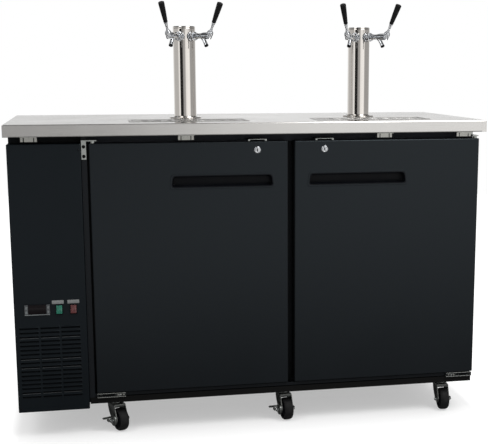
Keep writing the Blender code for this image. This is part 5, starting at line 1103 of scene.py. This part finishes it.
def build_fan_guard():
    """A wire guard over the evaporator's fan outlet."""
    wires = [tube([(x, y, 0) for x, y in arc(radius, 0, 7.5, 49)], 0.0011, 8)
             for radius in (0.014, 0.026, 0.038, 0.050, 0.062)]
    spokes = zip(around(0.010, -0.0010), around(0.068, -0.0010))
    wires += [tube(spoke, 0.0014, 8) for spoke in spokes]
    hub = lathe(softened(mm((0, 1.2), (12, 1), (14, -0.4), (13, -1.6), (0, -1.6)), 0.0006, 2), 32)
    heads = copied(screw(0.0034, 0.0018), *around(0.068, 0.0002))
    place = offset(FAN_OUTLET) @ turn("Y", 90)
    piece("evaporator_fan_guard", "cabinet", [(joined(*wires, hub), WHITE_PLASTIC), (heads, BOLT_STEEL)],
          place, slot="air_box_plastic")


def build_compressor():
    """The welded pot with its seam flange, feet, terminal cover and copper pipes."""
    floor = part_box("compressor")[0].z
    deck = (0, 0, floor + 0.016)
    pot = lathe(softened(mm((0, 180), (30, 177.5), (52, 168), (62, 148), (63.8, 120), (63.8, 101),
                            (66.8, 100), (66.8, 96), (63.4, 95), (63.4, 30), (58, 10), (45, 3.2), (0, 3)),
                         0.008, 4), 72)
    base = plate(centred(0.078, 0.078, 0.012), 0.003, 0.0008)
    foot = softened(mm((0, 0), (10.5, 0), (11, 5), (8.5, 8), (11, 11), (10.5, 16), (0, 16)), 0.0015)
    corners = [(x, y, 0) for x in (-0.067, 0.067) for y in (-0.067, 0.067)]
    feet = copied(lathe(foot, 32), *corners)
    bolts = at(copied(hex_nut(0.010, 0.005), *corners), (0, 0, 0.003))
    cover = block((0.0560, -0.024, 0.045), (0.0740, 0.024, 0.095), 0.003, 3)
    pipes = [tube(softened(bends, 0.012, 6), radius, 16) for radius, bends in (
        (0.0042, mm((0, -58, 110), (0, -90, 110), (0, -94, 150), (-30, -94, 170))),
        (0.0032, mm((-30, -52, 60), (-34, -80, 60), (-34, -94, 100), (-34, -94, 140))))]
    parts = [(at(joined(pot, base), deck), POT_COAT), (at(feet, (0, 0, floor)), SEAL_RUBBER),
             (at(cover, deck), BLACK_PLASTIC), (at(bolts, deck), BOLT_STEEL),
             (at(joined(*pipes), deck), COPPER)]
    piece("compressor_skin", "cabinet", parts, offset((*COMPRESSOR, 0)), ("compressor",),
          "compressor_paint", 45)


build_fan_guard()
build_compressor()


# Stage, light and camera

def build_stage():
    """A pale floor with a painted shadow, its glow least under the object, and with a painted shade to
    mirrors close to it.
    """
    surface = Surface("studio_floor", grey(0.56), 0.0, 0.9, Emission_Color=(1, 1, 1, 1))
    speck = surface.noise(1.5, detail=2.0)
    surface.vary_colour(speck, grey(0.99), grey(1.01))
    surface.vary_roughness(speck, 0.85, 0.95)
    rays = surface.add("LightPath").outputs
    across, ahead, _ = surface.add("SeparateXYZ", {"Vector": surface.place}).outputs
    # To mirrors the floor shows a painted shade close to the object and a painted glow far from it.
    distant = surface.level(ahead, 0.9, 0.0, -4.5, -1.6)
    shaded = surface.math("MULTIPLY", rays["Is Glossy Ray"], surface.level(ahead, 0.0, 0.68, -4.5, -1.4))
    plain = surface.shader.inputs["Base Color"].links[0].from_socket
    surface.drive("Base Color", surface.mix(shaded, plain, (*grey(0.02), 1)))
    painted_glow_to_mirrors = surface.math("MULTIPLY", rays["Is Glossy Ray"], surface.math("MULTIPLY", distant, 0.44))
    # To the camera the glow drops over the object's footprint and just round it: a painted shadow.
    beside = surface.level(surface.math("ABSOLUTE", across), 0.43, 0.72, 0.772, 0.81)
    before = surface.level(ahead, 0.57, 0.43, -0.94, -0.80)
    behind = surface.level(ahead, 0.43, 0.57, -0.16, 0.0)
    glow_outside_painted_shadow = surface.math("MAXIMUM", beside, surface.math("MAXIMUM", before, behind))
    seen = surface.math("MAXIMUM", rays["Is Camera Ray"], rays["Is Transmission Ray"])
    glow = surface.math("MAXIMUM", surface.math("MULTIPLY", seen, glow_outside_painted_shadow), painted_glow_to_mirrors)
    surface.drive("Emission Strength", glow)
    shape = bmesh.new()
    bmesh.ops.create_circle(shape, cap_ends=True, segments=96, radius=6.0)
    mesh = bpy.data.meshes.new("studio_floor")
    shape.to_mesh(mesh)
    shape.free()
    mesh.materials.append(surface.material)
    floor = bpy.data.objects.new("studio_floor", mesh)
    floor.location = (0, 0.5, -0.0004)
    bpy.context.scene.collection.objects.link(floor)


# Studio brightness round the horizon that mirrors see, by bearing in degrees from straight ahead of the doors
BEARINGS = (
    (-180, 0.90), (-150, 0.95), (-130, 0.62), (-75, 0.62), (-64, 1.15), (-55, 1.15), (-52, 0.02),
    (-24, 0.02), (-20, 0.42), (0, 0.50), (9, 1.15), (45, 1.25), (56, 0.45), (125, 0.45), (148, 0.97),
    (162, 0.98), (171, 1.05), (180, 0.90),
)
BRIGHTEST = 1.30


# And overhead, by the height of the ray's direction
CEILING = ((0.16, 1), (0.30, 0.16), (0.62, 0.16), (0.72, 0.70), (0.92, 0.70), (0.97, 0.20))


def build_world():
    """White to the camera, an even light to matt surfaces and a banded studio to mirrors."""
    world = bpy.data.worlds.new("studio")
    bpy.context.scene.world = world
    world.use_nodes = True
    world.node_tree.nodes.clear()
    sky = Nodes(world.node_tree)

    def ramp(value, stops):
        """Brightness by the value, from (place, brightness) stops."""
        node = sky.add("ValToRGB", {"Fac": value})
        elements = node.color_ramp.elements
        elements.remove(elements[0])
        for index, (place, brightness) in enumerate(stops):
            stop = elements.new(place) if index else elements[0]
            stop.position = place
            stop.color = (*grey(brightness), 1)
        return node.outputs["Color"]

    parts = sky.add("SeparateXYZ", {"Vector": sky.add("TexCoord").outputs["Generated"]}).outputs
    bearing = sky.math("ARCTAN2", parts["X"], sky.math("MULTIPLY", parts["Y"], -1.0))
    horizon = ramp(sky.level(bearing, 0.0, 1.0, -math.pi, math.pi),
                   [((degrees + 180) / 360, brightness / BRIGHTEST) for degrees, brightness in BEARINGS])
    banded = sky.mix(1.0, horizon, ramp(parts["Z"], CEILING), "MULTIPLY")
    below = sky.level(parts["Z"], 1.0, 0.0, -0.14, -0.075)
    aside = sky.level(parts["X"], 0.37, 1.0, 0.075, 0.25)
    panel = sky.add("CombineXYZ", {0: aside, 1: aside, 2: aside}).outputs["Vector"]
    mirror = sky.add("Background", {"Color": sky.mix(below, banded, panel), "Strength": BRIGHTEST})
    even = sky.add("Background", {"Color": (1, 1, 1, 1), "Strength": 0.85})
    white = sky.add("Background", {"Color": (1, 1, 1, 1), "Strength": 1.0})
    rays = sky.add("LightPath").outputs
    unseen = sky.add("MixShader", {0: rays["Is Glossy Ray"], 1: even.outputs[0], 2: mirror.outputs[0]})
    seen = sky.math("MAXIMUM", rays["Is Camera Ray"], rays["Is Transmission Ray"])
    light = sky.add("MixShader", {0: seen, 1: unseen.outputs[0], 2: white.outputs[0]})
    sky.add("OutputWorld", {"Surface": light.outputs[0]})


def add_lamp(name, place, target, width, height, power):
    light = bpy.data.lights.new(name, "AREA")
    light.shape = "RECTANGLE"
    light.size, light.size_y = width, height
    light.energy = power
    lamp = bpy.data.objects.new(name, light)
    lamp.location = place
    lamp.rotation_euler = (Vector(target) - Vector(place)).to_track_quat("-Z", "Y").to_euler()
    bpy.context.scene.collection.objects.link(lamp)


def build_camera():
    camera = bpy.data.cameras.new("photo_camera")
    camera.sensor_fit = "HORIZONTAL"
    camera.sensor_width = 36.0
    camera.lens = 75.395
    camera.shift_x = -0.10473
    camera.shift_y = 0.05764
    camera.clip_start = 0.05
    camera.dof.use_dof = False
    holder = bpy.data.objects.new("photo_camera", camera)
    holder.location = (-0.51412, -3.54381, 1.17658)
    holder.rotation_euler = (math.radians(90 - 10.0582), 0, math.radians(-11.3031))
    bpy.context.scene.collection.objects.link(holder)
    bpy.context.scene.camera = holder


build_stage()
build_world()
add_lamp("key", (1.9, -2.4, 3.6), (0.3, 0, 0.6), 2.2, 1.6, 80)
add_lamp("fill", (-2.4, -2.0, 3.4), (-0.3, 0, 0.6), 1.6, 1.6, 28)
build_camera()
bpy.context.scene.view_settings.view_transform = "Standard"
